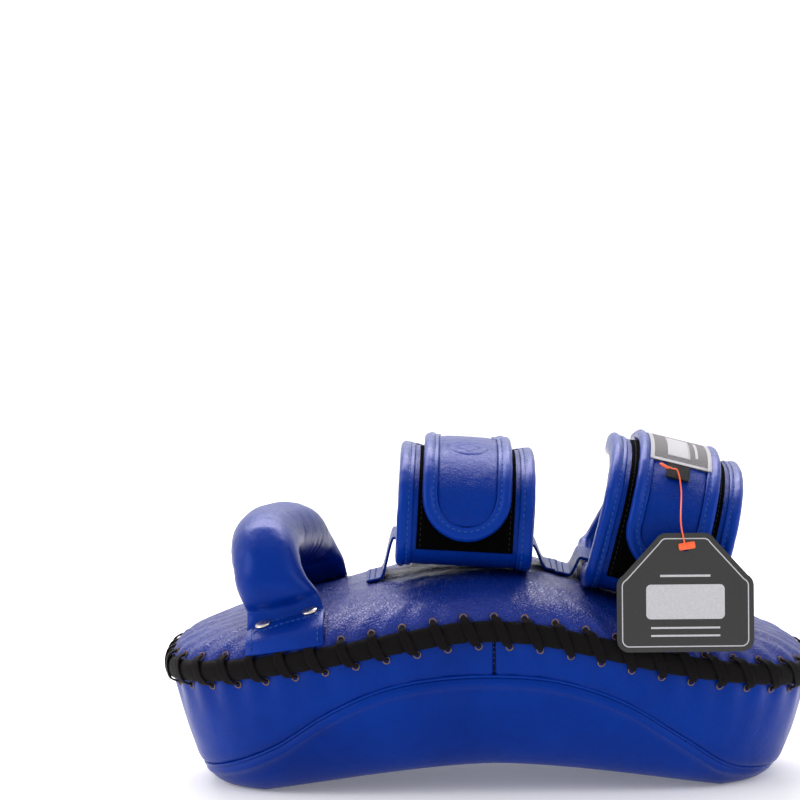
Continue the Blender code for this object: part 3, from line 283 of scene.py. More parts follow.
def leather(name, dark, base, light, pebble=0.5, crease=0.35, rough=(0.30, 0.46), coat=0.35, cell=560.0, tint=(0.03, 0.20, 1.0, 1.0), shine=0.34):
    """Dyed, finished cowhide: cell grain with painted shade darkening its valleys, wandering creases, a clear top coat
    and slight rubbing.
    """
    n = Nodes(name)
    vec = n.coords()
    cloud = n.noise(vec, 11.0, 4.0, 0.6)
    col = n.ramp(cloud, ((0.25, dark), (0.5, base), (0.78, light)))
    vor = n.new("ShaderNodeTexVoronoi", feature="DISTANCE_TO_EDGE")
    vor.inputs["Scale"].default_value = cell
    warp = n.new("ShaderNodeTexNoise")
    warp.inputs["Scale"].default_value = 140.0
    n.link(vec, warp.inputs["Vector"])
    add = n.new("ShaderNodeMixRGB", blend_type="ADD")
    add.inputs[0].default_value = 0.006
    n.link(vec, add.inputs[1])
    n.link(warp.outputs["Color"], add.inputs[2])
    n.link(add.outputs["Color"], vor.inputs["Vector"])
    cells = n.spread(vor.outputs["Distance"], 0.0, 1.0, (0.0, 0.16))
    fine = n.noise(vec, 1500.0, 2.0)
    folds = n.noise(n.coords((1.0, 0.55, 1.0)), 95.0, 5.0, 0.62, 1.3)
    # painted shade: the base colour is darkened along the grain's cell edges, the valleys of the bump
    deep = n.ramp(cells, ((0.0, (0.72, 0.72, 0.74)), (0.5, (1, 1, 1)), (1.0, (1, 1, 1))))
    col = n.mix(0.55, col, deep, "MULTIPLY")
    n.link(col, n.shader.inputs["Base Color"])
    n.link(n.spread(n.noise(vec, 34.0, 5.0), rough[0], rough[1]), n.shader.inputs["Roughness"])
    n.shader.inputs["Coat Weight"].default_value = coat * 0.22
    n.shader.inputs["Coat Roughness"].default_value = 0.25
    n.shader.inputs["Specular IOR Level"].default_value = shine
    n.shader.inputs["Specular Tint"].default_value = tint
    b = n.bump(folds, crease, 0.0022)
    b = n.bump(cells, pebble, 0.00035, b)
    b = n.bump(fine, 0.25, 0.00008, b)
    n.link(b, n.shader.inputs["Normal"])
    n.mat.diffuse_color = (*base, 1)
    return n.mat


BLUE_D, BLUE, BLUE_L = (0.0002, 0.013, 0.150), (0.0003, 0.020, 0.205), (0.0005, 0.028, 0.260)
mat_back = leather("leather_back", BLUE_D, BLUE, BLUE_L, pebble=0.95, crease=0.80, rough=(0.27, 0.40), coat=0.45, cell=400.0, tint=(0.46, 0.42, 0.90, 1.0), shine=0.50)
mat_side = leather("leather_side", BLUE_D, BLUE, BLUE_L, pebble=0.22, crease=0.10, rough=(0.30, 0.42), coat=0.35, cell=640.0)
mat_handle = leather("leather_handle", BLUE_D, BLUE, BLUE_L, pebble=0.20, crease=0.12, rough=(0.26, 0.38), coat=0.45, cell=640.0)
mat_cuff = leather("leather_cuff", BLUE_D, BLUE, BLUE_L, pebble=0.55, crease=0.30, rough=(0.30, 0.44), coat=0.35, cell=620.0)
mat_roll = leather("leather_binding", BLUE_D, (0.0006, 0.025, 0.24), BLUE_L, pebble=0.22, crease=0.12, rough=(0.24, 0.36), coat=0.5, cell=700.0)
mat_lining = leather("leather_lining", (0.0008, 0.014, 0.13), (0.001, 0.02, 0.18), (0.002, 0.03, 0.25), pebble=0.4, crease=0.2, rough=(0.5, 0.65), coat=0.0, cell=520.0)


def raw_leather():
    n = Nodes("raw_leather_edge")
    vec = n.coords()
    col = n.ramp(n.noise(vec, 900.0, 4.0), ((0.3, (0.10, 0.055, 0.03)), (0.55, (0.20, 0.12, 0.07)), (0.8, (0.34, 0.23, 0.15))))
    n.link(col, n.shader.inputs["Base Color"])
    n.shader.inputs["Roughness"].default_value = 0.9
    n.link(n.bump(n.noise(vec, 2600.0, 3.0), 0.6, 0.0002), n.shader.inputs["Normal"])
    return n.mat


mat_raw = raw_leather()


def webbing(name, colour, light, scale, sheen=0.3):
    """Close black nylon weave."""
    n = Nodes(name)
    vec = n.coords()
    wave1 = n.new("ShaderNodeTexWave", wave_type="BANDS", bands_direction="DIAGONAL")
    wave1.inputs["Scale"].default_value = scale
    wave1.inputs["Distortion"].default_value = 1.2
    wave1.inputs["Detail"].default_value = 1.0
    n.link(vec, wave1.inputs["Vector"])
    wave2 = n.new("ShaderNodeTexWave", wave_type="BANDS", bands_direction="Z")
    wave2.inputs["Scale"].default_value = scale * 1.3
    wave2.inputs["Distortion"].default_value = 1.2
    n.link(vec, wave2.inputs["Vector"])
    weave = n.mix(0.5, wave1.outputs["Color"], wave2.outputs["Color"], "MULTIPLY")
    grey = n.new("ShaderNodeRGBToBW")
    n.link(weave, grey.inputs["Color"])
    fuzz = n.noise(vec, 2200.0, 3.0)
    col = n.ramp(grey.outputs["Val"], ((0.0, colour), (0.75, light)))
    n.link(n.mix(0.25, col, n.ramp(fuzz, ((0.3, colour), (0.8, light)))), n.shader.inputs["Base Color"])
    n.shader.inputs["Roughness"].default_value = 0.62
    n.shader.inputs["Specular IOR Level"].default_value = 0.09
    n.shader.inputs["Sheen Weight"].default_value = sheen
    n.shader.inputs["Sheen Roughness"].default_value = 0.4
    b = n.bump(grey.outputs["Val"], 0.6, 0.0003)
    n.link(n.bump(fuzz, 0.35, 0.0001, b), n.shader.inputs["Normal"])
    return n.mat


mat_web = webbing("black_binding_tape", (0.0009, 0.0007, 0.0009), (0.0050, 0.0036, 0.0044), 900.0, 0.02)
mat_lace = webbing("black_nylon_lace", (0.0010, 0.0007, 0.0009), (0.0055, 0.0036, 0.0046), 1300.0, 0.02)
mat_tape = webbing("black_label_tape", (0.0012, 0.0012, 0.0012), (0.010, 0.010, 0.010), 1600.0, 0.05)


def pile():
    n = Nodes("black_loop_pile")
    vec = n.coords()
    loops = n.noise(vec, 1400.0, 5.0, 0.8, 1.5)
    rows = n.new("ShaderNodeTexVoronoi")
    rows.inputs["Scale"].default_value = 900.0
    n.link(vec, rows.inputs["Vector"])
    n.link(n.ramp(loops, ((0.35, (0.0002, 0.0002, 0.0002)), (0.75, (0.0022, 0.0020, 0.0022)))), n.shader.inputs["Base Color"])
    n.shader.inputs["Roughness"].default_value = 1.0
    n.shader.inputs["Specular IOR Level"].default_value = 0.03
    b = n.bump(rows.outputs["Distance"], 0.6, 0.0008)
    n.link(n.bump(loops, 0.8, 0.0005, b), n.shader.inputs["Normal"])
    return n.mat


mat_pile = pile()


def metal(name, base, rough):
    n = Nodes(name)
    vec = n.coords()
    n.link(n.ramp(n.noise(vec, 420.0, 4.0), ((0.3, tuple(c * 0.8 for c in base)), (0.7, base))), n.shader.inputs["Base Color"])
    n.shader.inputs["Metallic"].default_value = 1.0
    n.link(n.spread(n.noise(vec, 900.0, 4.0), rough - 0.07, rough + 0.1), n.shader.inputs["Roughness"])
    n.link(n.bump(n.noise(vec, 1500.0, 2.0), 0.15, 0.00008), n.shader.inputs["Normal"])
    return n.mat


mat_nickel = metal("nickel", (0.78, 0.69, 0.62), 0.26)
mat_ring = metal("ring_wire", (0.60, 0.52, 0.42), 0.22)


def thread(name, base, sheen=0.1):
    n = Nodes(name)
    vec = n.coords()
    n.link(n.ramp(n.noise(vec, 1800.0, 2.0), ((0.3, tuple(c * 0.6 for c in base)), (0.7, base))), n.shader.inputs["Base Color"])
    n.shader.inputs["Roughness"].default_value = 0.55
    n.shader.inputs["Specular IOR Level"].default_value = 0.2
    n.shader.inputs["Sheen Weight"].default_value = sheen
    n.link(n.bump(n.noise(vec, 4000.0, 2.0), 0.4, 0.0001), n.shader.inputs["Normal"])
    return n.mat


mat_thread = thread("blue_thread", (0.004, 0.075, 0.34))
mat_black_thread = thread("black_thread", (0.004, 0.004, 0.005), 0.02)


def plastic(name, base, rough=0.35, sub=0.0):
    n = Nodes(name)
    vec = n.coords()
    n.link(n.ramp(n.noise(vec, 300.0, 3.0), ((0.3, tuple(c * 0.88 for c in base)), (0.7, base))), n.shader.inputs["Base Color"])
    n.link(n.spread(n.noise(vec, 600.0, 3.0), rough - 0.06, rough + 0.08), n.shader.inputs["Roughness"])
    n.shader.inputs["Subsurface Weight"].default_value = sub
    n.shader.inputs["Subsurface Scale"].default_value = 0.001
    return n.mat


mat_orange = plastic("orange_plastic", (0.92, 0.12, 0.02), 0.4, 0.15)
mat_orange.node_tree.nodes["Principled BSDF"].inputs["Coat Weight"].default_value = 0.2


def card(name, base, rough):
    n = Nodes(name)
    vec = n.coords()
    n.link(n.ramp(n.noise(vec, 700.0, 4.0), ((0.3, tuple(c * 0.85 for c in base)), (0.7, base))), n.shader.inputs["Base Color"])
    n.link(n.spread(n.noise(vec, 160.0, 4.0), rough - 0.05, rough + 0.08), n.shader.inputs["Roughness"])
    n.shader.inputs["Coat Weight"].default_value = 0.5
    n.shader.inputs["Coat Roughness"].default_value = 0.12
    n.link(n.bump(n.noise(vec, 240.0, 2.0), 0.10, 0.0003), n.shader.inputs["Normal"])
    return n.mat


mat_card = card("tag_card_black", (0.006, 0.006, 0.007), 0.3)
mat_print = card("tag_print_silver", (0.50, 0.50, 0.53), 0.42)
mat_core = card("tag_card_edge", (0.55, 0.54, 0.52), 0.8)


def woven(name, check):
    """Damask label cloth; UV in millimetres."""
    n = Nodes(name)
    uv = n.new("ShaderNodeUVMap")
    mp = n.new("ShaderNodeMapping")
    n.link(uv.outputs["UV"], mp.inputs["Vector"])
    ch = n.new("ShaderNodeTexChecker")
    ch.inputs["Scale"].default_value = 0.42
    ch.inputs["Color1"].default_value = (0.008, 0.008, 0.009, 1)
    ch.inputs["Color2"].default_value = (0.075, 0.075, 0.08, 1)
    n.link(mp.outputs["Vector"], ch.inputs["Vector"])
    vec = n.coords()
    fleck = n.noise(vec, 2600.0, 2.0)
    br = n.new("ShaderNodeTexBrick")
    br.inputs["Scale"].default_value = 2.2
    br.inputs["Mortar Size"].default_value = 0.08
    n.link(mp.outputs["Vector"], br.inputs["Vector"])
    if check:
        col = n.mix(0.35, ch.outputs["Color"], n.ramp(fleck, ((0.3, (0.004, 0.004, 0.005)), (0.75, (0.12, 0.12, 0.125)))))
    else:
        col = n.ramp(fleck, ((0.25, (0.30, 0.30, 0.33)), (0.75, (0.62, 0.62, 0.66))))
    n.link(col, n.shader.inputs["Base Color"])
    n.shader.inputs["Roughness"].default_value = 0.6
    n.shader.inputs["Sheen Weight"].default_value = 0.25
    b = n.bump(br.outputs["Fac"], 0.5, 0.00015)
    n.link(n.bump(fleck, 0.4, 0.0001, b), n.shader.inputs["Normal"])
    return n.mat


mat_check = woven("label_check", True)
mat_silver = woven("label_silver_thread", False)


def foam_mat(name, base):
    n = Nodes(name)
    vec = n.coords()
    v = n.new("ShaderNodeTexVoronoi")
    v.inputs["Scale"].default_value = 900.0
    n.link(vec, v.inputs["Vector"])
    # painted shade: the base colour darkens towards each pore's centre, the hollow of the bump
    n.link(n.ramp(v.outputs["Distance"], ((0.0, tuple(c * 0.6 for c in base)), (0.5, base))), n.shader.inputs["Base Color"])
    n.shader.inputs["Roughness"].default_value = 0.95
    n.link(n.bump(v.outputs["Distance"], 0.6, 0.0004), n.shader.inputs["Normal"])
    return n.mat


mat_foam = foam_mat("soft_foam", (0.72, 0.68, 0.56))
mat_firm = foam_mat("firm_foam", (0.10, 0.10, 0.11))

# ---------------------------------------------------------------- mesh making


def piece(name, verts, faces, mats, body, reps=(), smooth=True, uv=None, face_mats=None, angle=None):
    mesh = bpy.data.meshes.new(name)
    verts = np.asarray(verts, float) * MM
    mesh.from_pydata(verts.tolist(), [], [tuple(int(i) for i in f) for f in faces])
    mats = mats if isinstance(mats, (list, tuple)) else [mats]
    for m in mats:
        mesh.materials.append(m)
    if face_mats is not None:
        mesh.polygons.foreach_set("material_index", np.asarray(face_mats, np.int32))
    if uv is not None:
        layer = mesh.uv_layers.new(name="UVMap")
        idx = np.empty(len(mesh.loops), np.int32)
        mesh.loops.foreach_get("vertex_index", idx)
        layer.data.foreach_set("uv", np.asarray(uv, float)[idx].reshape(-1))
    bm = bmesh.new()
    bm.from_mesh(mesh)
    bmesh.ops.recalc_face_normals(bm, faces=bm.faces)
    bm.to_mesh(mesh)
    bm.free()
    if smooth:
        mesh.polygons.foreach_set("use_smooth", [True] * len(mesh.polygons))
        if angle:
            mesh.set_sharp_from_angle(angle=math.radians(angle))
    mesh.update()
    ob = bpy.data.objects.new(name, mesh)
    bpy.context.scene.collection.objects.link(ob)
    if body:
        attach(ob, body)
    if reps:
        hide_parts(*reps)
    return ob


def grid_faces(rows, cols, wrap_cols=False, wrap_rows=False, base=0):
    r = np.arange(rows if wrap_rows else rows - 1)
    c = np.arange(cols if wrap_cols else cols - 1)
    R, C = np.meshgrid(r, c, indexing="ij")
    R2, C2 = (R + 1) % rows, (C + 1) % cols
    return np.stack([R * cols + C, R * cols + C2, R2 * cols + C2, R2 * cols + C], axis=-1).reshape(-1, 4) + base


def grid_normals(grid, wrap):
    du = np.roll(grid, -1, 1) - np.roll(grid, 1, 1) if wrap else np.gradient(grid, axis=1)
    dv = np.gradient(grid, axis=0)
    return unit(np.cross(du, dv))


def sheet_solid(grid, thick, wrap, toward=None):
    """A sheet under a grid of outer points, as points and faces; TOWARD(points) is the rough outer direction."""
    n = grid_normals(grid, wrap)
    ref = toward(grid) if toward is not None else np.array([0, 0, 1.0])
    if (n * ref).sum() < 0:
        n = -n
    inner = grid - n * thick
    rows, cols = grid.shape[:2]
    verts = np.concatenate([grid.reshape(-1, 3), inner.reshape(-1, 3)])
    base = rows * cols
    faces = [grid_faces(rows, cols, wrap), grid_faces(rows, cols, wrap, base=base)[:, ::-1]]
    c = np.arange(cols if wrap else cols - 1)
    d = (c + 1) % cols
    faces.append(np.stack([c, base + c, base + d, d], axis=-1))
    last = (rows - 1) * cols
    faces.append(np.stack([last + d, base + last + d, base + last + c, last + c], axis=-1))
    if not wrap:
        r = np.arange(rows - 1)
        a, b = r * cols, (r + 1) * cols
        faces.append(np.stack([b, base + b, base + a, a], axis=-1))
        a, b = r * cols + cols - 1, (r + 1) * cols + cols - 1
        faces.append(np.stack([a, base + a, base + b, b], axis=-1))
    return verts, np.concatenate(faces)


def loft(rings, closed=False):
    rings = np.asarray(rings, float)
    rows, n = rings.shape[:2]
    faces = [tuple(f) for f in grid_faces(rows, n, True, closed)]
    if not closed:
        faces.append(tuple(range(n))[::-1])
        faces.append(tuple((rows - 1) * n + i for i in range(n)))
    return rings.reshape(-1, 3), faces


def tube(points, radius, sides=10, closed=False, flat=1.0, wide=None):
    """A round tube along points; RADIUS may be one number or one per point."""
    p = np.asarray(points, float)
    m = len(p)
    r = np.broadcast_to(np.asarray(radius, float), (m,))
    t = unit(np.roll(p, -1, 0) - np.roll(p, 1, 0)) if closed else unit(np.gradient(p, axis=0))
    ref = np.array([0.31, 0.17, 0.93])
    e1 = unit(np.cross(t[0], ref))
    rings = []
    for i in range(m):
        e1 = unit(e1 - np.dot(e1, t[i]) * t[i])
        e2 = np.cross(t[i], e1)
        a = np.arange(sides) * 2 * math.pi / sides
        rings.append(p[i] + r[i] * (np.cos(a)[:, None] * e1 + np.sin(a)[:, None] * e2 * flat))
    return np.array(rings)


def merge(parts):
    verts, faces, at = [], [], 0
    for v, f in parts:
        verts.append(np.asarray(v, float))
        faces += [tuple(int(i) + at for i in q) for q in f]
        at += len(v)
    return np.concatenate(verts), faces


def stitch_run(points, normals, length=3.1, gap=1.3, radius=0.42, lift=0.1, closed=False):
    """A row of thread stitches lying along points on a surface."""
    p, nr = np.asarray(points, float), unit(normals)
    if closed:
        p, nr = np.concatenate([p, p[:1]]), np.concatenate([nr, nr[:1]])
    s = np.concatenate([[0], np.cumsum(np.linalg.norm(np.diff(p, axis=0), axis=1))])
    count = max(int(s[-1] / (length + gap)), 1)
    pitch = s[-1] / count
    parts = []
    shape = ((-0.5, 0.25, -0.55), (-0.42, 0.8, -0.1), (-0.2, 1.0, 0.25), (0.2, 1.0, 0.25), (0.42, 0.8, -0.1), (0.5, 0.25, -0.55))
    for k in range(count):
        mid = (k + 0.5) * pitch
        rings = []
        for along, size, high in shape:
            at = mid + along * length
            c = np.array([np.interp(at, s, p[:, i]) for i in range(3)])
            nn = unit(np.array([np.interp(at, s, nr[:, i]) for i in range(3)]))
            t = unit(np.array([np.interp(at + 0.5, s, p[:, i]) - np.interp(at - 0.5, s, p[:, i]) for i in range(3)]))
            w = unit(np.cross(t, nn))
            c = c + nn * (lift + high * radius)
            a = np.arange(6) * math.pi / 3
            rings.append(c + radius * size * (np.cos(a)[:, None] * w + np.sin(a)[:, None] * nn * 0.8))
        parts.append(loft(rings))
    return parts


def noise_at(points, scale, seed=0.0, octaves=3):
    """Smooth noise, about -1 to 1, at points in millimetres."""
    flat = np.asarray(points, float).reshape(-1, 3)
    out = np.array([noise.fractal(Vector((q[0] * scale + seed, q[1] * scale, q[2] * scale)), 1.0, 2.0, octaves) for q in flat])
    return out.reshape(np.asarray(points).shape[:-1])


# ---------------------------------------------------------------- pad cover

around = np.arange(STITCHES) / STITCHES
between = (np.arange(STITCHES) + 0.5) / STITCHES
up_frames = skin_frame(lace_angles(around), HOLE_UP)
low_frames = skin_frame(lace_angles(between), -HOLE_DOWN)


def horizontal(g):
    return g * np.array([1.0, 1.0, 0.0])


def pucker(frac, q_dist, phase):
    """Bulge between lace holes, fading away from the edge."""
    return 0.9 * np.cos(2 * math.pi * (frac * STITCHES - phase)) * -1.0 * np.exp(-q_dist / 11.0)


# Back panel: smooth crown, puckers at the lace holes, soft wrinkles
COLS = 648
frac = np.arange(COLS) / COLS
theta = lace_angles(frac)
rises = [0.3, 2.0, 4.0, 6.0, 8.0, 9.5, 11.0, 12.5, 14.0, 15.5, 17.0]
rows = [skin(theta, r) for r in rises]
for rho in np.linspace(dome_rho(18.2), 0.012, 46):
    x, y = plan(theta, HALF_LENGTH * rho, HALF_WIDTH * rho)
    rows.append(np.stack([x, y, dome_z(x, y)], axis=-1))
grid = np.array(rows)
nrm = grid_normals(grid, True)
if nrm[30, :, 2].sum() < 0:
    nrm = -nrm
edge_gap = np.array(rises + list(np.linspace(20, 120, 46)))[:, None]
disp = pucker(frac[None, :], np.abs(edge_gap - 9.5) * 0.8, 0.0)
broad = noise_at(grid, 0.022, 3.1, 2)
fine = noise_at(grid * np.array([1.0, 0.6, 1.0]), 0.085, 9.7, 3)
fade = np.clip(edge_gap / 24.0, 0.1, 1.0)
disp = disp + 0.9 * broad * fade + 0.55 * fine * fade


def near(points, cx, cy, rx, ry):
    return np.exp(-(((points[..., 0] - cx) / rx) ** 2 + ((points[..., 1] - cy) / ry) ** 2))


# The cuffs' feet pull the skin down a little and crease it round them
for cx, cy, rx, ry in ((-18.0, 14.0, 50.0, 52.0), (112.0, 8.0, 52.0, 60.0)):
    ring_w = near(grid, cx, cy, rx * 1.25, ry * 1.25) - near(grid, cx, cy, rx * 0.8, ry * 0.8)
    disp = disp + ring_w * 1.6 * np.sin(grid[..., 1] * 0.19 + 2.2 * fine) * 0.5
    disp = disp - near(grid, cx, cy, rx, ry) * 0.8
disp = np.where(np.abs(edge_gap) < 1.0, -0.2, disp)
disp[-6:] = disp[-6:].mean(axis=1, keepdims=True)
grid = grid + nrm * disp[..., None]
verts, faces = sheet_solid(grid, 1.6, True)
n_all = grid.shape[0] * COLS
pole_row = (grid.shape[0] - 1) * COLS
centre_top = grid[-1].mean(axis=0)
verts = np.concatenate([verts, [centre_top, centre_top - np.array([0, 0, 1.6])]])
fan = [(pole_row + c, pole_row + (c + 1) % COLS, len(verts) - 2) for c in range(COLS)]
fan += [(n_all + pole_row + (c + 1) % COLS, n_all + pole_row + c, len(verts) - 1) for c in range(COLS)]
rim_at = 2 * (grid.shape[0] - 1) * COLS + COLS
keep = np.ones(len(faces), bool)
keep[rim_at : rim_at + COLS] = False
faces = [tuple(f) for f in faces[keep]] + fan
back = piece("back_skin", verts, faces, mat_back, "pad", ("back_panel",))


# Gusset halves with dips at the lace holes, a turned-in upright seam and a dip along the bow seam
def gusset_piece(name, node, start, stop):
    count = 325
    fr = np.linspace(start + 0.35 / 1090, stop - 0.35 / 1090, count)
    th = lace_angles(fr)
    lx = plan(th, HALF_LENGTH, HALF_WIDTH)[0]
    top = v_at(th, lambda x: edge_z(lx) - 0.3)
    low = v_at(th, lambda x: seam_z(x) + 0.25)
    parts = np.concatenate([np.linspace(0, 0.3, 14), np.linspace(0.3, 0.86, 22)[1:], np.linspace(0.86, 1.0, 16)[1:]])
    g = np.array([side(th, top + (low - top) * f) for f in parts])
    n = grid_normals(g, False)
    if (n * horizontal(g)).sum() < 0:
        n = -n
    q = edge_z(lx)[None, :] - g[..., 2]
    from_seam = np.linalg.norm(g - g[-1][None], axis=-1)
    d = pucker(fr[None, :], np.abs(q - 10.0), 0.5)
    d = d - 1.1 * np.exp(-((from_seam / 2.2) ** 2)) + 0.5 * np.exp(-(((from_seam - 7) / 5) ** 2))
    run = (fr - start) * 1090
    back_run = (stop - fr) * 1090
    for u in (run, back_run):
        d = d + (-1.3 * np.exp(-((u / 1.6) ** 2)) + 0.45 * np.exp(-(((u - 6) / 4) ** 2)))[None, :]
    d = d + 0.5 * noise_at(g, 0.02, 5.0, 2) + 0.12 * noise_at(g, 0.09, 1.0, 2)
    d = np.where(q < 1.0, -0.3, d)
    g = g + n * d[..., None]
    v, f = sheet_solid(g, 1.6, False, horizontal)
    return piece(name, v, f, mat_side, "pad", (node,))


foot_skin = gusset_piece("gusset_skin_foot", "gusset_foot_end", 0.0, 0.5)
handle_end_skin = gusset_piece("gusset_skin_handle", "gusset_handle_end", 0.5, 1.0)

# Strike panel
COLS = 540
frac = np.arange(COLS) / COLS
theta = lace_angles(frac)
v_low = v_at(theta, lambda x: seam_z(x) - 0.6)
parts = np.concatenate([np.linspace(0, 0.10, 12), np.linspace(0.10, 1.0, 30)[1:]])
rows = [side(theta, v_low + (1 - v_low) * f) for f in parts]
foot_a, foot_b = HALF_LENGTH - SIDE_ROUND - SIDE_SLANT, HALF_WIDTH - SIDE_ROUND - SIDE_SLANT
for f in np.linspace(0.965, 0.012, 26):
    x, y = plan(theta, foot_a * f, foot_b * f)
    rows.append(np.stack([x, y, arch_z(x)], axis=-1))
grid = np.array(rows)
nrm = grid_normals(grid, True)
side_rows = slice(0, len(parts) - 8)
if (nrm[side_rows] * horizontal(grid[side_rows])).sum() < 0:
    nrm = -nrm
from_seam = np.linalg.norm(grid - grid[0][None], axis=-1)
disp = -0.9 * np.exp(-((from_seam / 1.3) ** 2)) + 1.5 * np.exp(-(((from_seam - 4.6) / 2.8) ** 2)) - 0.35 * np.exp(-(((from_seam - 12) / 4) ** 2))
low_face = np.clip((grid[..., 2] - arch_z(grid[..., 0]) - 4.0) / 20.0, 0, 1)
disp = disp * np.clip(low_face * 2, 0, 1) + low_face * (0.6 * noise_at(grid, 0.018, 8.0, 2) + 0.12 * noise_at(grid, 0.08, 2.0, 2))
grid = grid + nrm * disp[..., None]
grid[..., 2] = np.maximum(grid[..., 2], 0.0)
verts, faces = sheet_solid(grid, 1.6, True, lambda g: np.concatenate([horizontal(g[:30]), g[30:] * 0 + np.array([0, 0, -1.0])]))
n_all = grid.shape[0] * COLS
pole_row = (grid.shape[0] - 1) * COLS
centre_low = grid[-1].mean(axis=0)
verts = np.concatenate([verts, [centre_low, centre_low + np.array([0, 0, 1.6])]])
fan = [(pole_row + c, pole_row + (c + 1) % COLS, len(verts) - 2) for c in range(COLS)]
fan += [(n_all + pole_row + (c + 1) % COLS, n_all + pole_row + c, len(verts) - 1) for c in range(COLS)]
rim_at = 2 * (grid.shape[0] - 1) * COLS + COLS
keep = np.ones(len(faces), bool)
keep[rim_at : rim_at + COLS] = False
strike = piece("strike_skin", verts, [tuple(f) for f in faces[keep]] + fan, mat_side, "pad", ("strike_panel",))

# Welt cord lying in the bow seam
fr = np.arange(720) / 720
th = lace_angles(fr)
vm = v_at(th, seam_z)
line = side(th, vm)
t = unit(np.roll(line, -1, 0) - np.roll(line, 1, 0))
dn = unit(side(th, np.minimum(vm + 0.01, 1.0)) - line)
nn = unit(np.cross(dn, t))
nn = np.where((nn * horizontal(line)).sum(-1, keepdims=True) < 0, -nn, nn)
v, f = loft(tube(line - nn * 0.75, 0.95, 8, closed=True), closed=True)
piece("bow_seam_welt", v, f, mat_roll, "pad", ("seam_welt",))

# Upright seam stitches on both sides, black thread in the turned-in joint
parts = []
for fr0 in (0.0, 0.5):
    th0 = lace_angles(np.array([fr0]))
    vt = v_at(th0, lambda x: edge_z(plan(th0, HALF_LENGTH, HALF_WIDTH)[0]) - 7.5)[0]
    vb = v_at(th0, lambda x: seam_z(x) + 2.0)[0]
    pts = np.array([side(th0[0], vv) for vv in np.linspace(vt, vb, 20)])
    outd = unit(horizontal(pts))
    parts += stitch_run(pts - outd * 1.5, outd, 2.2, 1.2, 0.45)
v, f = merge(parts)
piece("upright_seam_thread", v, f, mat_black_thread, "pad")

# ---------------------------------------------------------------- laced edge

COLS = STITCHES * 14
fr = np.arange(COLS) / COLS
th = lace_angles(fr)
profile = [(0.45, -6.6), (1.7, -6.7), (2.9, -5.6), (3.7, -3.6), (4.15, -1.2), (4.2, 1.2), (3.7, 3.6), (2.8, 5.6), (1.3, 6.8), (-0.2, 6.8), (-0.5, 6.2), (0.25, 2.5), (0.4, -2.0)]
phase = (fr * STITCHES - 0.25) % 1.0
tight = np.exp(-(((phase + 0.5) % 1.0 - 0.5) / 0.13) ** 2)
rings = np.zeros((COLS, len(profile), 3))
for j, (o, u) in enumerate(profile):
    outer = 1.0 if o > 1.0 else 0.0
    lump = outer * (-0.75 * tight + 0.35 * (1 - tight))
    lx = plan(th, HALF_LENGTH, HALF_WIDTH)[0]
    shrink = 1.0 - 0.08 * tight
    ox = o + lump
    x, y = np.empty(COLS), np.empty(COLS)
    c, s = np.cos(th), np.sin(th)
    e = 2.0 / PLAN_POWER
    x = (HALF_LENGTH + ox) * np.sign(c) * np.abs(c) ** e
    y = (HALF_WIDTH + ox) * np.sign(s) * np.abs(s) ** e
    rings[:, j] = np.stack([x, y, edge_z(lx) + u * shrink], axis=-1)
rings += 0.18 * noise_at(rings, 0.3, 4.0, 2)[..., None] * unit(horizontal(rings))
v, f = loft(rings, closed=True)
binding = piece("edge_binding_tape", v, f, mat_web, "pad", ("edge_binding",))


def lace_control():
    ctrl = []
    for k in range(STITCHES):
        upper, un, ut, uu = (f[k] for f in up_frames)
        lower, ln, lt, lu = (f[k] for f in low_frames)
        nxt, nn, nt, nu = (f[(k + 1) % STITCHES] for f in up_frames)
        wob = 0.25 * math.sin(k * 2.4)
        ta, tb, tc = lace_angles((k + np.array([0.1, 0.25, 0.4])) / STITCHES)
        ctrl.append((upper - un * 2.6, ut, -uu, 1.7, 0.6))
        ctrl.append((upper + un * 0.5 - uu * 0.8, ut, -un - uu, 2.0 + wob, 0.65))
        ctrl.append((edge_offset(ta, 3.1, 6.9), ut, -un - 0.5 * uu, 2.9, 0.62))
        ctrl.append((edge_offset(tb, 4.75, 0.0), ut, -un - ln, 3.3 + wob, 0.55))
        ctrl.append((edge_offset(tc, 3.3, -6.9), lt, -ln + 0.5 * lu, 2.9, 0.62))
        ctrl.append((lower + ln * 0.5 + lu * 0.8, lt, -ln + lu, 2.0 - wob, 0.65))
        ctrl.append((lower - ln * 2.6, lt, lu, 1.7, 0.6))
        ctrl.append(((lower + nxt) / 2 - (ln + nn) * 2.1, lt, ln, 1.5, 0.5))
    return ctrl


ctrl = lace_control()
C = np.array([np.concatenate([c[0], unit(c[1]), unit(c[2]), [c[3], c[4]]]) for c in ctrl])
m = len(C)
steps = 5
rings = []
P0, P1, P2, P3 = np.roll(C, 1, 0), C, np.roll(C, -1, 0), np.roll(C, -2, 0)
dense = []
for t in np.arange(steps) / steps:
    lin = P1 * (1 - t) + P2 * t
    cr = 0.5 * (2 * P1 + (P2 - P0) * t + (2 * P0 - 5 * P1 + 4 * P2 - P3) * t**2 + (3 * P1 - P0 - 3 * P2 + P3) * t**3)
    q = lin.copy()
    q[:, :3] = cr[:, :3]
    dense.append(q)
D = np.stack(dense, axis=1).reshape(m * steps, -1)
tang = unit(np.roll(D[:, :3], -1, 0) - np.roll(D[:, :3], 1, 0))
section = [(-1, 0.3), (-0.93, 0.9), (-0.5, 1.0), (0, 0.8), (0.5, 1.0), (0.93, 0.9), (1, 0.3), (1, -0.3), (0.93, -0.9), (0, -0.85), (-0.93, -0.9), (-1, -0.3)]
for i in range(len(D)):
    c, a, inw, hw, ht = D[i, :3], D[i, 3:6], D[i, 6:9], D[i, 9], D[i, 10]
    a = unit(a - np.dot(a, tang[i]) * tang[i])
    th_ = unit(np.cross(tang[i], a))
    if np.dot(th_, inw) > 0:
        th_ = -th_
    rings.append([c + a * hw * u + th_ * ht * w for u, w in section])
v, f = loft(rings, closed=True)
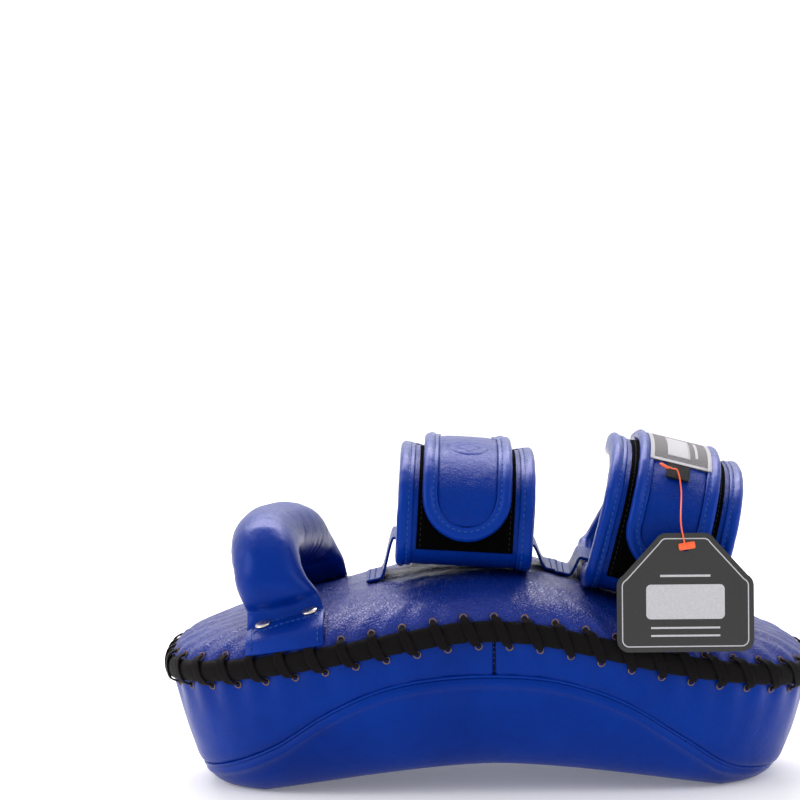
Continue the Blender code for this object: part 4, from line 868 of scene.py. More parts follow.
piece("edge_lace_strap", v, f, mat_lace, "pad", ("edge_lace",), angle=60)

# Raw rims of the punched holes
parts = []
for frames in (up_frames, low_frames):
    for p, n, t_, u_ in zip(*frames):
        a = np.arange(14) * 2 * math.pi / 14
        centre = p - n * 0.15
        ring = centre + 2.1 * (np.cos(a)[:, None] * t_ + np.sin(a)[:, None] * u_ * 1.05)
        parts.append(loft(tube(ring, 0.42, 6, closed=True, flat=1.0), closed=True))
v, f = merge(parts)
piece("lace_hole_rims", v, f, mat_raw, "pad")

# ---------------------------------------------------------------- handle


def catmull(points, steps):
    """Points run through smoothly, STEPS to each span; works on rings too."""
    P = np.asarray(points, float)
    out = []
    for i in range(len(P) - 1):
        a, b, c, d = P[max(i - 1, 0)], P[i], P[i + 1], P[min(i + 2, len(P) - 1)]
        for t in np.arange(steps) / steps:
            out.append(0.5 * (2 * b + (c - a) * t + (2 * a - 5 * b + 4 * c - d) * t**2 + (3 * b - a - 3 * c + d) * t**3))
    out.append(P[-1])
    return np.array(out)


near_root_z = float(dome_z(HANDLE_NEAR_X + 8.0, HANDLE_HALF_SPAN)) + 7.1
far_root_z = float(dome_z(HANDLE_FAR_X, HANDLE_HALF_SPAN)) + 7.1
root_z = (near_root_z + far_root_z) / 2
arch_rise = HANDLE_TOP - root_z
arch = [(-57.0, root_z), (-57.8, root_z + 0.34 * arch_rise), (-52.0, root_z + 0.64 * arch_rise), (-35.0, root_z + 0.90 * arch_rise), (0.0, HANDLE_TOP)]
arch = arch + [(-y, z) for y, z in arch[-2::-1]]
arch_line = catmull(arch, 40)
arch_run = np.concatenate([[0], np.cumsum(np.linalg.norm(np.diff(arch_line, axis=0), axis=1))])
arch_total = arch_run[-1]


def handle_centre(s):
    y = np.interp(s, arch_run, arch_line[:, 0])
    z = np.interp(s, arch_run, arch_line[:, 1])
    f = np.clip((y + 25.0) / (HANDLE_HALF_SPAN + 25.0), 0, 1)
    x = HANDLE_NEAR_X + (HANDLE_FAR_X - HANDLE_NEAR_X) * f * f * (3 - 2 * f)
    high = np.clip((z - root_z) / arch_rise, 0, 1)
    tilt = (far_root_z - near_root_z) / 2 * np.clip(y / HANDLE_HALF_SPAN, -1, 1) * (1 - high)
    return np.array([x - HANDLE_LEAN * high, y, z + tilt])


AROUND = 48
angles = np.arange(AROUND) * 2 * math.pi / AROUND


def super_ring(power):
    c, s = np.cos(angles), np.sin(angles)
    e = 2.0 / power
    return np.sign(c) * np.abs(c) ** e, np.sign(s) * np.abs(s) ** e


def tube_ring(s, root_x):
    c = handle_centre(s)
    t = unit(handle_centre(min(s + 1, arch_total)) - handle_centre(max(s - 1, 0)))
    across = unit(np.array([1.0, 0, 0]) - t[0] * t)
    radial = np.cross(t, across)
    end = min(s, arch_total - s)
    deep = np.interp(end, (3, 8, 14, 24, 38), (7.5, 11.5, 15.0, 18.6, 20.6))
    wide = np.interp(end, (3, 12, 26, 60), (24.0, 22.6, 21.4, 21.8))
    c = c + np.array([(root_x - c[0]) * np.interp(end, (0, 16), (0.7, 0.0)), 0, 0])
    u, w = super_ring(np.interp(end, (3, 20), (2.6, 2.05)))
    return c + across * (u * wide)[:, None] + radial * (w * deep)[:, None], end


TAB_EDGE_RISE = 6.6


def tab_y(x, f):
    """Across the pad, from where the tube lies down (f = 0) to the laced edge (f = 1)."""
    return 64.5 + (outer_y(x, TAB_EDGE_RISE) - 64.8) * f


def tab_ring(sign, f, x_mid, half, lift=0.9, thick=3.0):
    u, w = super_ring(7.0)
    pts = []
    for uu, ww in zip(u, w):
        x = x_mid + uu * half
        p, n, _ = dome_frame(x, sign * tab_y(x, f))
        pts.append(p + n * (lift + thick / 2 - ww * thick / 2))
    return np.array(pts)


rows = []
outer_near = [min(outer_y(TAB_NEAR_X + d, 8.0) for d in (-25, 0, 25)) - 0.3]
outer_far = [min(outer_y(TAB_FAR_X + d, 8.0) for d in (-25, 0, 25)) - 0.3]
for f in np.linspace(1.0, 0.0, 6):
    rows.append(tab_ring(-1.0, f, TAB_NEAR_X, TAB_HALF - 0.3))
for s in (3.0, 8.0, 14.0, 20.0):
    rows.append(tube_ring(s, TAB_NEAR_X)[0])
for s in np.linspace(26.0, arch_total - 26.0, 18):
    rows.append(tube_ring(s, 0)[0])
for s in (20.0, 14.0, 8.0, 3.0):
    rows.append(tube_ring(arch_total - s, TAB_FAR_X)[0])


def flip(ring):
    """The far tab's rings run the same way round as the tube's."""
    return ring[(-np.arange(AROUND)) % AROUND]


def far_tab(f, half, lift=0.9, thick=3.0):
    u, w = super_ring(7.0)
    pts = []
    for uu, ww in zip(u, w):
        x = TAB_FAR_X + uu * half
        p, n, _ = dome_frame(x, tab_y(x, f))
        pts.append(p + n * (lift + thick / 2 - ww * thick / 2))
    return np.array(pts)


for f in np.linspace(0.0, 1.0, 6):
    rows.append(far_tab(f, TAB_HALF - 0.3))
rows = catmull(rows, 5)
grid = np.array(rows)
mid = grid.mean(axis=1, keepdims=True)
nrm = grid_normals(grid, True)
if (nrm[60:90] * (grid[60:90] - mid[60:90])).sum() < 0:
    nrm = -nrm
# The padded tube creases where it bends, and swells between
along = np.arange(len(grid)) / (len(grid) - 1)
body_w = np.clip((along - 0.22) / 0.08, 0, 1) * np.clip((0.78 - along) / 0.08, 0, 1)
broad = noise_at(grid, 0.03, 12.0, 2)
fine = noise_at(grid * np.array([0.5, 1.2, 1.2]), 0.16, 6.0, 3)
root_w = np.exp(-(((along - 0.27) / 0.05) ** 2)) + np.exp(-(((along - 0.73) / 0.05) ** 2))
inner_side = np.clip(np.sin(angles), 0, 1)[None, :]
disp = body_w[:, None] * (0.7 * broad + 0.22 * fine) + root_w[:, None] * (0.5 * np.sin(angles * 6 + 1.0)[None, :] * 0.6)
bend_w = np.exp(-(((along - 0.36) / 0.04) ** 2)) + np.exp(-(((along - 0.64) / 0.04) ** 2))
disp = disp + bend_w[:, None] * inner_side * 0.5 * np.sin(along * 190.0)[:, None]
grid = grid + nrm * disp[..., None]
v, f = loft(grid)
handle_nodes = ("handle_cover", "handle_core", "handle_tab_near", "handle_tab_far", "handle_patch_near", "handle_patch_far")
handle = piece("handle_leather", v, f, mat_handle, None, handle_nodes)
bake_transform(handle)

# Sewn rectangle and rivets on both tabs; their washers are the burrs in the CAD
for word, sign, tab_x, out_y in (("near", -1.0, TAB_NEAR_X, outer_near[0]), ("far", 1.0, TAB_FAR_X, outer_far[0])):

    def on_tab(x, y, lift=4.0):
        p, n, _ = dome_frame(x, sign * y)
        return p + n * lift, n

    runs = []
    x0, x1 = tab_x - 21.0, tab_x + 21.5
    for pts in (
        [(x, 63.8 + 0.8 * math.sin((x - x0) * 0.14)) for x in np.linspace(x0, x1, 24)],
        [(x, 72.6 + 0.3 * math.sin(x * 0.3)) for x in np.linspace(x0, x1, 24)],
        [(x0, y) for y in np.linspace(64.4, outer_y(x0, TAB_EDGE_RISE) - 1.0, 18)],
        [(x1, y) for y in np.linspace(64.4, outer_y(x1, TAB_EDGE_RISE) - 1.0, 18)],
    ):
        laid = [on_tab(x, y) for x, y in pts]
        runs += stitch_run([p for p, n in laid], [n for p, n in laid], 2.5, 1.1, 0.36, 0.0)
    v, f = merge(runs)
    piece(f"tab_thread_{word}", v, f, mat_thread, "pad")
    # raised patch under the rivets
    g = []
    for y in np.linspace(64.8, 71.8, 14):
        row = []
        for x in np.linspace(x0 + 0.8, x1 - 0.8, 60):
            ex = min(x - x0 - 0.8, x1 - 0.8 - x) / 1.5
            ey = min(y - 64.8, 71.8 - y) / 1.2
            high = 0.5 * min(1.0, max(ex, 0)) ** 0.5 * min(1.0, max(ey, 0)) ** 0.5
            p, n, _ = dome_frame(x, sign * y)
            row.append(p + n * (3.75 + high))
        g.append(row)
    v, f = sheet_solid(np.array(g), 0.8, False)
    piece(f"tab_patch_{word}", v, f, mat_handle, "pad")
    for i, dx in enumerate(RIVETS_DX):
        p, n, _ = dome_frame(tab_x + dx, sign * RIVET_Y)
        e1 = unit(np.cross(n, np.array([0.0, 1.0, 0.1])))
        e2 = np.cross(n, e1)
        prof = [(0.02, 6.35), (1.6, 6.32), (3.0, 6.15), (4.2, 5.8), (4.9, 5.35), (5.2, 4.95), (5.15, 4.6), (4.7, 4.4), (2.0, 4.3), (2.0, 0.0)]
        rings = [p + n * h + r * (np.cos(np.linspace(0, 2 * math.pi, 40, endpoint=False))[:, None] * e1 + np.sin(np.linspace(0, 2 * math.pi, 40, endpoint=False))[:, None] * e2) for r, h in prof]
        v, f = loft(rings)
        piece(f"rivet_cap_{word}_{i + 1}", v, f, mat_nickel, "pad", (f"rivet_{word}_{i + 1}",))

# ---------------------------------------------------------------- cuffs


class Path:
    """A line in a cuff's side plane, by arc length, with normals pointing away from the arm."""

    def __init__(self, points, flip=False):
        p = np.array(points, float)
        keep = np.concatenate([[True], np.linalg.norm(np.diff(p, axis=0), axis=1) > 1e-6])
        self.p = p[keep]
        self.s = np.concatenate([[0], np.cumsum(np.linalg.norm(np.diff(self.p, axis=0), axis=1))])
        t = unit(np.gradient(self.p, self.s, axis=0))
        self.n = np.stack([t[:, 1], -t[:, 0]], axis=-1) * (-1 if flip else 1)
        self.length = self.s[-1]

    def at(self, s, out):
        y = np.interp(s, self.s, self.p[:, 0])
        z = np.interp(s, self.s, self.p[:, 1])
        n = unit(np.array([np.interp(s, self.s, self.n[:, 0]), np.interp(s, self.s, self.n[:, 1])]))
        return y + n[0] * out, z + n[1] * out


class Cuff:
    def __init__(self, tag, x, y, half_y, half_z, lean_deg, yaw_deg, flap_root_width, flap_width, flap_end_deg):
        self.tag = tag
        self.a, self.b = half_y, half_z
        self.flap_root_width, self.flap_width, self.flap_end = flap_root_width, flap_width, flap_end_deg
        turn = Matrix.Rotation(math.radians(yaw_deg), 3, "Z") @ Matrix.Rotation(math.radians(lean_deg), 3, "Y")
        self.turn = np.array(turn)
        self.at = np.array([x, y, 0.0])
        lift = -1e9
        for xx in np.linspace(-BAND_WIDTH / 2, BAND_WIDTH / 2, 9):
            for deg in range(215, 326, 5):
                yy, zz = self.loop(deg, 1.2)
                q = self.at + self.turn @ np.array([xx, yy, zz])
                lift = max(lift, float(dome_z(q[0], q[1])) + 0.5 - q[2])
        self.at[2] = lift

    def loop(self, deg, out=0.0):
        def outline(d):
            a = math.radians(d)
            c, s = math.cos(a), math.sin(a)
            e = 2 / (CUFF_POWER if s >= 0 else CUFF_LOW_POWER)
            return np.array([self.a * math.copysign(abs(c) ** e, c), self.b + self.b * math.copysign(abs(s) ** e, s)])

        p = outline(deg)
        t = unit(outline(deg + 0.5) - outline(deg - 0.5))
        return p + np.array([t[1], -t[0]]) * out

    def world(self, x, y, z):
        return self.at + self.turn @ np.array([x, y, z])

    def out_dir(self, path, s):
        n = unit(np.array([np.interp(s, path.s, path.n[:, 0]), np.interp(s, path.s, path.n[:, 1])]))
        return self.turn @ np.array([0.0, n[0], n[1]])

    def sweep(self, path, stations, section):
        rings = []
        for s in stations:
            ring = []
            for x, out in section(s):
                y, z = path.at(s, out)
                ring.append(self.world(x, y, z))
            rings.append(ring)
        return np.array(rings)


def rounded(points, rings, push):
    """Adds shrinking end rings to a sweep, so that its ends are rounded."""
    first, last = rings[0], rings[-1]
    d0, d1 = unit((rings[0] - rings[1]).mean(axis=0)), unit((rings[-1] - rings[-2]).mean(axis=0))
    out = []
    for f, d in ((0.45, 1.0), (0.8, 0.72)):
        c = first.mean(axis=0)
        out.append(c + (first - c) * np.array([1.0]) * 1.0 * 1.0 - (first - c) * (1 - f) * points + d0 * push * d)
    head = out
    tail = []
    for f, d in ((0.8, 0.72), (0.45, 1.0)):
        c = last.mean(axis=0)
        tail.append(c + (last - c) - (last - c) * (1 - f) * points + d1 * push * d)
    return np.concatenate([np.array(head), rings, np.array(tail)])


def swell(rings, amount, scale, seed):
    """Slight unevenness of a sewn strip, away from its middle line."""
    mid = rings.mean(axis=1, keepdims=True)
    return rings + unit(rings - mid) * (amount * noise_at(rings, scale, seed, 2))[..., None]


def build_cuff(cuff):
    tag = cuff.tag
    start, stop = 42.0, 366.0
    band = Path([cuff.loop(d) for d in np.linspace(start, stop, 721)])
    L = band.length
    stations = np.linspace(0, L, 150)

    def width(s):
        return min(np.interp(s, (0, 26), (61.0, BAND_WIDTH)), np.interp(L - s, (0, 55), (58.0, BAND_WIDTH)))

    def grid_sheet(name, out_top, thick, margin, crown, mat, reps, seed, under=False, cols=44, wrinkle=0.35):
        st = np.linspace(0.2, L - 0.2, 300)
        g = np.empty((len(st), cols, 3))
        for i, s in enumerate(st):
            w = width(s) / 2 - margin
            for j, u in enumerate(np.linspace(-1, 1, cols)):
                edge = 1 - abs(u) ** 8
                y, z = band.at(s, out_top + (crown * edge if not under else -crown * edge))
                g[i, j] = cuff.world(u * w, y, z)
        n = grid_normals(g, False)
        centre = cuff.world(0, 0, cuff.b)
        if (n * (g - centre)).sum() < 0:
            n = -n
        f = np.linspace(-1, 1, cols)
        wave = noise_at(g * np.array([1.0, 1.0, 1.0]), 0.11, seed, 3) * wrinkle * (1 - np.abs(f) ** 6)[None, :]
        g = g + n * wave[..., None]
        v, fc = sheet_solid(g, thick, False, lambda q: q - centre)
        return piece(name, v, fc, mat, "pad", reps)

    cover = grid_sheet(f"cuff_{tag}_leather", -0.4, 4.0, 2.6, 1.0, mat_cuff, (f"cuff_{tag}_cover", f"cuff_{tag}_foam"), 3.0 + int(tag))
    lining = grid_sheet(f"cuff_{tag}_inner", -6.2, 3.6, 2.6, 0.0, mat_lining, (f"cuff_{tag}_lining",), 13.0, wrinkle=0.25)

    # Rolled edge bindings with their stitch rows and the folded inner lip
    for word, sign in (("a", -1.0), ("b", 1.0)):
        shape = [
            (-9.2, -0.2), (-9.0, 1.25), (-8.2, 1.75), (-7.0, 1.6), (-6.1, 1.15), (-5.2, 1.7), (-3.6, 2.6), (-1.8, 2.7), (-0.3, 1.7), (0.65, 0.0),
            (1.0, -2.4), (1.1, -5.0), (1.0, -7.6), (0.65, -9.9), (-0.3, -11.4), (-1.8, -12.2), (-3.6, -12.1), (-5.2, -11.4), (-6.1, -11.0), (-8.2, -11.4), (-9.2, -10.6),
            (-9.0, -9.0), (-3.0, -8.6), (-2.4, -5.0), (-3.0, -1.4),
        ]

        def section(s):
            w = width(s) / 2
            end = min(s, L - s)
            k = 1.0 if end > 3 else 0.75 + 0.25 * math.sqrt(max(end, 0) / 3)
            return [(sign * (w - 0.6 + x), -5.0 + (o + 5.0) * k) for x, o in shape]

        rings = cuff.sweep(band, np.linspace(0, L, 260), section)
        rings = swell(rings, 0.22, 0.12, 2.0 + sign)
        v, f = loft(rings)
        b = piece(f"cuff_{tag}_roll_{word}", v, f, mat_roll, "pad", (f"cuff_{tag}_binding_{word}",))
        runs = []
        for out, face in ((1.2, 1.0), (-11.0, -1.0)):
            st = np.linspace(3, L - 3, 400)
            pts, nr = [], []
            for s in st:
                y, z = band.at(s, out)
                pts.append(cuff.world(sign * (width(s) / 2 - 6.7), y, z))
                nr.append(cuff.out_dir(band, s) * face)
            runs += stitch_run(pts, nr, 2.7, 1.3, 0.42, 0.05)
        v, f = merge(runs)
        piece(f"cuff_{tag}_thread_{word}", v, f, mat_thread, "pad")

    # Facing across the band's two ends
    for word, s_end, way in (("tail", 0.0, -1.0), ("head", L, 1.0)):
        w = width(s_end) / 2 - 1.5
        path_pts = []
        n = cuff.out_dir(band, s_end)
        y, z = band.at(s_end, -5.2)
        y1, z1 = band.at(max(min(s_end - way * 1.0, L), 0), -5.2)
        d = unit(cuff.turn @ np.array([0, y - y1, z - z1]))
        rings = []
        for x in np.linspace(-w, w, 40):
            c = cuff.world(x, y, z) - d * 1.2
            a = np.arange(16) * 2 * math.pi / 16
            rings.append(c + (np.cos(a)[:, None] * n * 5.9 + np.sin(a)[:, None] * d * 3.0))
        v, f = loft(np.array(rings))
        piece(f"cuff_{tag}_end_{word}", v, f, mat_roll, "pad")

    # Loop pile with a sewn flat edge each side
    pile_start = next(s for s, p in zip(band.s, band.p) if p[0] < 6.0)
    pile_stop = next(s for s, p in zip(band.s, band.p) if p[0] < -cuff.a * 0.5 and p[1] < 14.0)
    st = np.linspace(pile_start, pile_stop, 170)
    cols = 72
    g = np.empty((len(st), cols, 3))
    for i, s in enumerate(st):
        for j, u in enumerate(np.linspace(-1, 1, cols)):
            x = 31.3 * u
            fluff = 0.75 * (1 - np.clip((abs(x) - 26.5) / 1.5, 0, 1)) * min(1.0, (s - pile_start) / 2, (pile_stop - s) / 2)
            y, z = band.at(s, 1.35 + fluff)
            g[i, j] = cuff.world(x, y, z)
    rough = noise_at(g, 1.1, 4.0, 2) * 0.16
    n = grid_normals(g, False)
    centre = cuff.world(0, 0, cuff.b)
    if (n * (g - centre)).sum() < 0:
        n = -n
    inner = (np.abs(np.linspace(-31.3, 31.3, cols)) < 26.5)[None, :]
    g = g + n * (rough * inner)[..., None]
    v, f = sheet_solid(g, 1.1, False, lambda q: q - centre)
    piece(f"cuff_{tag}_pile", v, f, mat_pile, "pad", (f"cuff_{tag}_loop_patch",))
    runs = []
    for x in (-28.8, 28.8):
        pts, nr = [], []
        for s in np.linspace(pile_start + 1, pile_stop - 1, 160):
            y, z = band.at(s, 1.5)
            pts.append(cuff.world(x, y, z))
            nr.append(cuff.out_dir(band, s))
        runs += stitch_run(pts, nr, 2.3, 1.2, 0.3, 0.0)
    v, f = merge(runs)
    piece(f"cuff_{tag}_pile_thread", v, f, mat_black_thread, "pad")

    # Ring
    y0, z0 = band.at(0.0, -2.6)
    t = unit(band.p[0] - band.p[6])
    inner_bar = np.array([y0, z0]) + t * 6.4
    outer_bar = inner_bar + RING_REACH * unit(np.array([0.985, 0.17]))
    u_dir = unit(outer_bar - inner_bar)
    corners = []
    r = 4.0
    for cx, al, first in ((RING_HALF - r, RING_REACH - r, 0), (-(RING_HALF - r), RING_REACH - r, 90), (-(RING_HALF - r), r, 180), (RING_HALF - r, r, 270)):
        for k in range(9):
            a = math.radians(first + 11.25 * k)
            corners.append((cx + r * math.cos(a), al + r * math.sin(a)))
    pts = []
    for i in range(len(corners)):
        a, b = np.array(corners[i]), np.array(corners[(i + 1) % len(corners)])
        count = max(int(np.linalg.norm(b - a) / 2.5), 1)
        for k in range(count):
            q = a + (b - a) * k / count
            w = inner_bar + u_dir * q[1]
            pts.append(cuff.world(q[0], w[0], w[1]))
    v, f = loft(tube(np.array(pts), RING_WIRE, 16, closed=True), closed=True)
    piece(f"cuff_{tag}_wire_ring", v, f, mat_ring, "ring_" + tag, (f"cuff_{tag}_ring",))

    # Keeper round the inner bar
    tail_n = band.n[0]
    a0 = math.atan2(tail_n[1], tail_n[0])
    loop_pts = [inner_bar + 2.3 * np.array([math.cos(a), math.sin(a)]) for a in a0 - np.radians(np.linspace(0, 205, 9))]
    on_band = [np.array(band.at(s, 1.3)) for s in (20.0, 13.0, 6.0, 0.5)]
    keeper_path = Path(catmull(on_band + loop_pts, 5), flip=True)

    def strap_section(half, low, high):
        def section(s):
            m_, h = (low + high) / 2, (high - low) / 2
            pts_ = []
            for x, o in ((-1, -0.4), (-1, 0.4), (-0.985, 0.85), (-0.95, 1)) :
                pts_.append((x * half, m_ + o * h))
            for x in np.linspace(-0.9, 0.9, 9):
                pts_.append((x * half, m_ + h * (1.0 + 0.12 * (1 - x * x))))
            for x, o in ((0.95, 1), (0.985, 0.85), (1, 0.4), (1, -0.4), (0.985, -0.85), (0.95, -1), (0, -1), (-0.95, -1), (-0.985, -0.85)):
                pts_.append((x * half, m_ + o * h))
            return pts_

        return section

    v, f = loft(cuff.sweep(keeper_path, np.linspace(0, keeper_path.length, 46), strap_section(21.0, 0.0, 1.4)))
    piece(f"cuff_{tag}_keeper_loop", v, f, mat_handle, "pad", (f"cuff_{tag}_keeper",))

    # Strap up the far side and over the outer bar
    far = [cuff.loop(d) for d in np.linspace(328.0, 364.0, 13)]
    fold = [outer_bar + 2.5 * np.array([math.cos(a), math.sin(a)]) for a in np.radians(np.linspace(-25.0, 90.0, 13))]
    leave, arrive = unit(far[-1] - far[-2]), unit(fold[1] - fold[0])
    reach = float(np.linalg.norm(fold[0] - far[-1])) / 3
    bz = [far[-1], far[-1] + leave * reach, fold[0] - arrive * reach, fold[0]]
    rise = [(1 - t) ** 3 * bz[0] + 3 * (1 - t) ** 2 * t * bz[1] + 3 * (1 - t) * t**2 * bz[2] + t**3 * bz[3] for t in np.linspace(0, 1, 15)[1:-1]]
    strap_path = Path(far + rise + fold)
    sec = strap_section(25.0, 1.6, 3.6)
    v, f = loft(cuff.sweep(strap_path, np.linspace(0, strap_path.length, 80), sec))
    piece(f"cuff_{tag}_pull_strap", v, f, mat_cuff, "pad", (f"cuff_{tag}_strap",))
    runs = []
    for x in (-22.0, 22.0):
        ss = np.linspace(1, strap_path.length - 6, 120)
        pts = [cuff.world(x, *strap_path.at(s, 3.75)) for s in ss]
        runs += stitch_run(pts, [cuff.out_dir(strap_path, s) for s in ss], 2.7, 1.3, 0.42)
    pts = [cuff.world(x, *strap_path.at(3.0, 3.85)) for x in np.linspace(-21, 21, 30)]
    runs += stitch_run(pts, [cuff.out_dir(strap_path, 3.0)] * 30, 2.7, 1.3, 0.42)
    for s0 in (16.0, 4.0):
        pts = [cuff.world(x, *keeper_path.at(s0, 1.55)) for x in np.linspace(-18.5, 18.5, 30)]
        runs += stitch_run(pts, [cuff.out_dir(keeper_path, s0)] * 30, 2.7, 1.3, 0.42)
    v, f = merge(runs)
    piece(f"cuff_{tag}_strap_thread", v, f, mat_thread, "pad")
    cuff.outer_bar = outer_bar

    # Foot strip sewn to the pad through the cuff
    xs = np.concatenate([np.linspace(-64, -44, 22), np.linspace(-43, 43, 24), np.linspace(44, 64, 22)])
    ys = np.linspace(-24.0, 24.0, 26)
    high = np.empty((len(xs), len(ys), 3))
    key = (-61.0, -55.0, -51.0, -46.5, 46.5, 51.0, 55.0, 61.0)
    for i, x in enumerate(xs):
        for j, y in enumerate(ys):
            inner_z = cuff.b - cuff.b * (1 - (abs(y) / cuff.a) ** CUFF_LOW_POWER) ** (1 / CUFF_LOW_POWER) + 11.9
            raised = cuff.world(x, y, inner_z)
            p, nr, _ = dome_frame(raised[0], raised[1])
            on_pad = p + nr * 0.5
            ff = np.interp(abs(x), (46.5, 55.0), (1.0, 0.0))
            ff = ff * ff * (3 - 2 * ff)
            q = raised * ff + on_pad * (1 - ff)
            up = unit(cuff.turn @ np.array([0, 0, 1.0]) * ff + nr * (1 - ff))
            high[i, j] = q + up * 1.9
    v, f = sheet_solid(high, 1.7, False)
    piece(f"cuff_{tag}_foot_strip", v, f, mat_cuff, "pad", (f"cuff_{tag}_anchor",))
    runs = []
    for sg in (-1, 1):
        i0 = [int(np.argmin(np.abs(xs - sg * a))) for a in (58.5, 62.5)]
        for i in i0:
            runs += stitch_run(high[i, 1:-1], [np.array([0, 0, 1.0])] * (len(ys) - 2), 2.6, 1.2, 0.4, 0.1)
    v, f = merge(runs)
    piece(f"cuff_{tag}_foot_thread", v, f, mat_thread, "pad")


def build_flap(cuff, emboss):
    tag = cuff.tag
    root = cuff.outer_bar + np.array([0.0, 5.6])
    over = [cuff.loop(d) for d in np.arange(66.0, cuff.flap_end + 0.1, 3.0)]
    path = Path(catmull([root + np.array([2.0, -0.2]), root + np.array([-6.0, 0.6])] + over, 10))
    cuff.flap_path = path
    length, R = path.length, cuff.flap_width / 2
    body = "flap_" + tag

    def half(s):
        w = np.interp(s, (0, 45), (cuff.flap_root_width / 2, R))
        left = length - s
        if left < R:
            w = math.sqrt(max(R * R - (R - left) ** 2, 0.0))
        return w

    # Leather face with a soft crown
    st = np.concatenate([np.linspace(1.0, length - R, 190), length - R + (R - 2.6) * np.sin(np.linspace(0, math.pi / 2, 60))[1:]])
    cols = 96
    g = np.empty((len(st), cols, 3))
    flat = np.empty((len(st), cols, 2))
    for i, s in enumerate(st):
        w = max(half(s) - 2.3, 1.2)
        for j, u in enumerate(np.linspace(-1, 1, cols)):
            x = u * w
            edge_d = min(w - abs(x), (length - s) - 2.0)
            crown = 1.1 * (1 - math.exp(-max(edge_d - 4.0, 0) / 5.0)) - 0.6 * math.exp(-(((edge_d - 6.2) / 1.3) ** 2))
            flat[i, j] = (x, s)
            y, z = path.at(s, 6.0 + crown)
            g[i, j] = cuff.world(x, y, z)
    n = grid_normals(g, False)
    centre = cuff.world(0, 0, cuff.b)
    if (n * (g - centre)).sum() < 0:
        n = -n
    d = 0.22 * noise_at(g, 0.13, 5.0 + int(tag), 3)
    if emboss:
        d = d + emboss(flat[..., 0], flat[..., 1], path)
    g = g + n * d[..., None]
    v, f = sheet_solid(g, 2.6, False, lambda q: q - centre)
    face = piece(f"flap_{tag}_leather", v, f, mat_cuff, body, (f"flap_{tag}_cover",))

    # Rolled binding along the outline
    straight = np.linspace(1.5, length - R, 150)
    outline = [(half(s), s) for s in straight]
    turn_angles = np.linspace(0, math.pi, 90)[1:-1]
    outline += [(R * math.cos(a), length - R + R * math.sin(a)) for a in turn_angles]
    outline += [(-half(s), s) for s in straight[::-1]]
    outline = np.array(outline)
    tang = unit(np.gradient(outline, axis=0))
    inward = np.stack([-tang[:, 1], tang[:, 0]], axis=-1)
    if (inward[:20, 0]).sum() > 0:
        inward = -inward
    shape = [
        (9.2, 6.2), (9.0, 7.55), (8.3, 7.9), (7.3, 7.7), (6.5, 7.25), (5.7, 7.8), (4.2, 8.7), (2.5, 8.9), (1.0, 8.3), (0.0, 6.9), (-0.3, 5.4),
        (0.0, 3.9), (0.8, 2.8), (2.4, 2.3), (5.0, 2.3), (7.0, 2.5), (7.2, 3.2), (3.0, 3.8), (3.0, 5.4),
    ]
    rings = []
    for i in range(len(outline)):
        ring = []
        for inn, o in shape:
            x = outline[i, 0] + inward[i, 0] * inn
            s = outline[i, 1] + inward[i, 1] * inn
            y, z = path.at(s, o)
            ring.append(cuff.world(x, y, z))
        rings.append(ring)
    rings = swell(np.array(rings), 0.18, 0.13, 7.0)
    v, f = loft(rings)
    b = piece(f"flap_{tag}_roll", v, f, mat_roll, body, (f"flap_{tag}_binding",))
    pts, nr = [], []
    for i in range(len(outline)):
        x = outline[i, 0] + inward[i, 0] * 6.5
        s = outline[i, 1] + inward[i, 1] * 6.5
        y, z = path.at(s, 7.35)
        pts.append(cuff.world(x, y, z))
        nr.append(cuff.out_dir(path, min(max(s, 0), length)))
    v, f = merge(stitch_run(pts, nr, 2.7, 1.3, 0.42, 0.0))
    piece(f"flap_{tag}_thread", v, f, mat_thread, body)

    # Hook patch under the flap's free end
    first = length * 0.45
    st = [s for s in np.linspace(first, length - 10.5, 80)]
    g = np.empty((len(st), 40, 3))
    for i, s in enumerate(st):
        w = max(half(min(s + 8, length - 0.5)) - 10.0, 2.0)
        for j, u in enumerate(np.linspace(-1, 1, 40)):
            y, z = path.at(s, 3.4)
            g[i, j] = cuff.world(u * w, y, z)
    v, f = sheet_solid(g, 0.9, False, lambda q: q - centre)
    piece(f"flap_{tag}_hooks", v, f, mat_pile, body, (f"flap_{tag}_hook_patch",))


cuff_1 = Cuff("1", -19.0, 14.0, 68.0, 35.5, 3.5, 0.0, 53.0, 57.0, 187.0)
cuff_2 = Cuff("2", 101.5, 8.0, 77.0, 46.5, 14.0, -1.0, 50.0, 54.0, 190.0)
for cuff in (cuff_1, cuff_2):
    build_cuff(cuff)


def crest_mark(x, s, path):
    """A plain pressed mark: a ring round a lozenge."""
    top = path.s[int(np.argmax(path.p[:, 1]))]
    s0 = top + 26.0
    r = np.hypot(x, s - s0)
    ring = np.exp(-(((r - 13.5) / 1.1) ** 2))
    diamond = np.abs(x) + np.abs(s - s0)
    line = np.exp(-(((diamond - 8.2) / 1.0) ** 2))
    centre = np.clip(1 - diamond / 4.0, 0, 1)
    return -0.75 * ring - 0.75 * line - 0.5 * centre


build_flap(cuff_1, crest_mark)
build_flap(cuff_2, None)

# ---------------------------------------------------------------- woven label, size tab, tag

path = cuff_2.flap_path
top_s = path.s[int(np.argmax(path.p[:, 1]))]
LABEL_HALF, LABEL_START, LABEL_LENGTH = 20.5, top_s - 14.0, 66.0


def on_flap(s, x, out):
    y, z = path.at(s, out)
    return cuff_2.world(x, y, z)


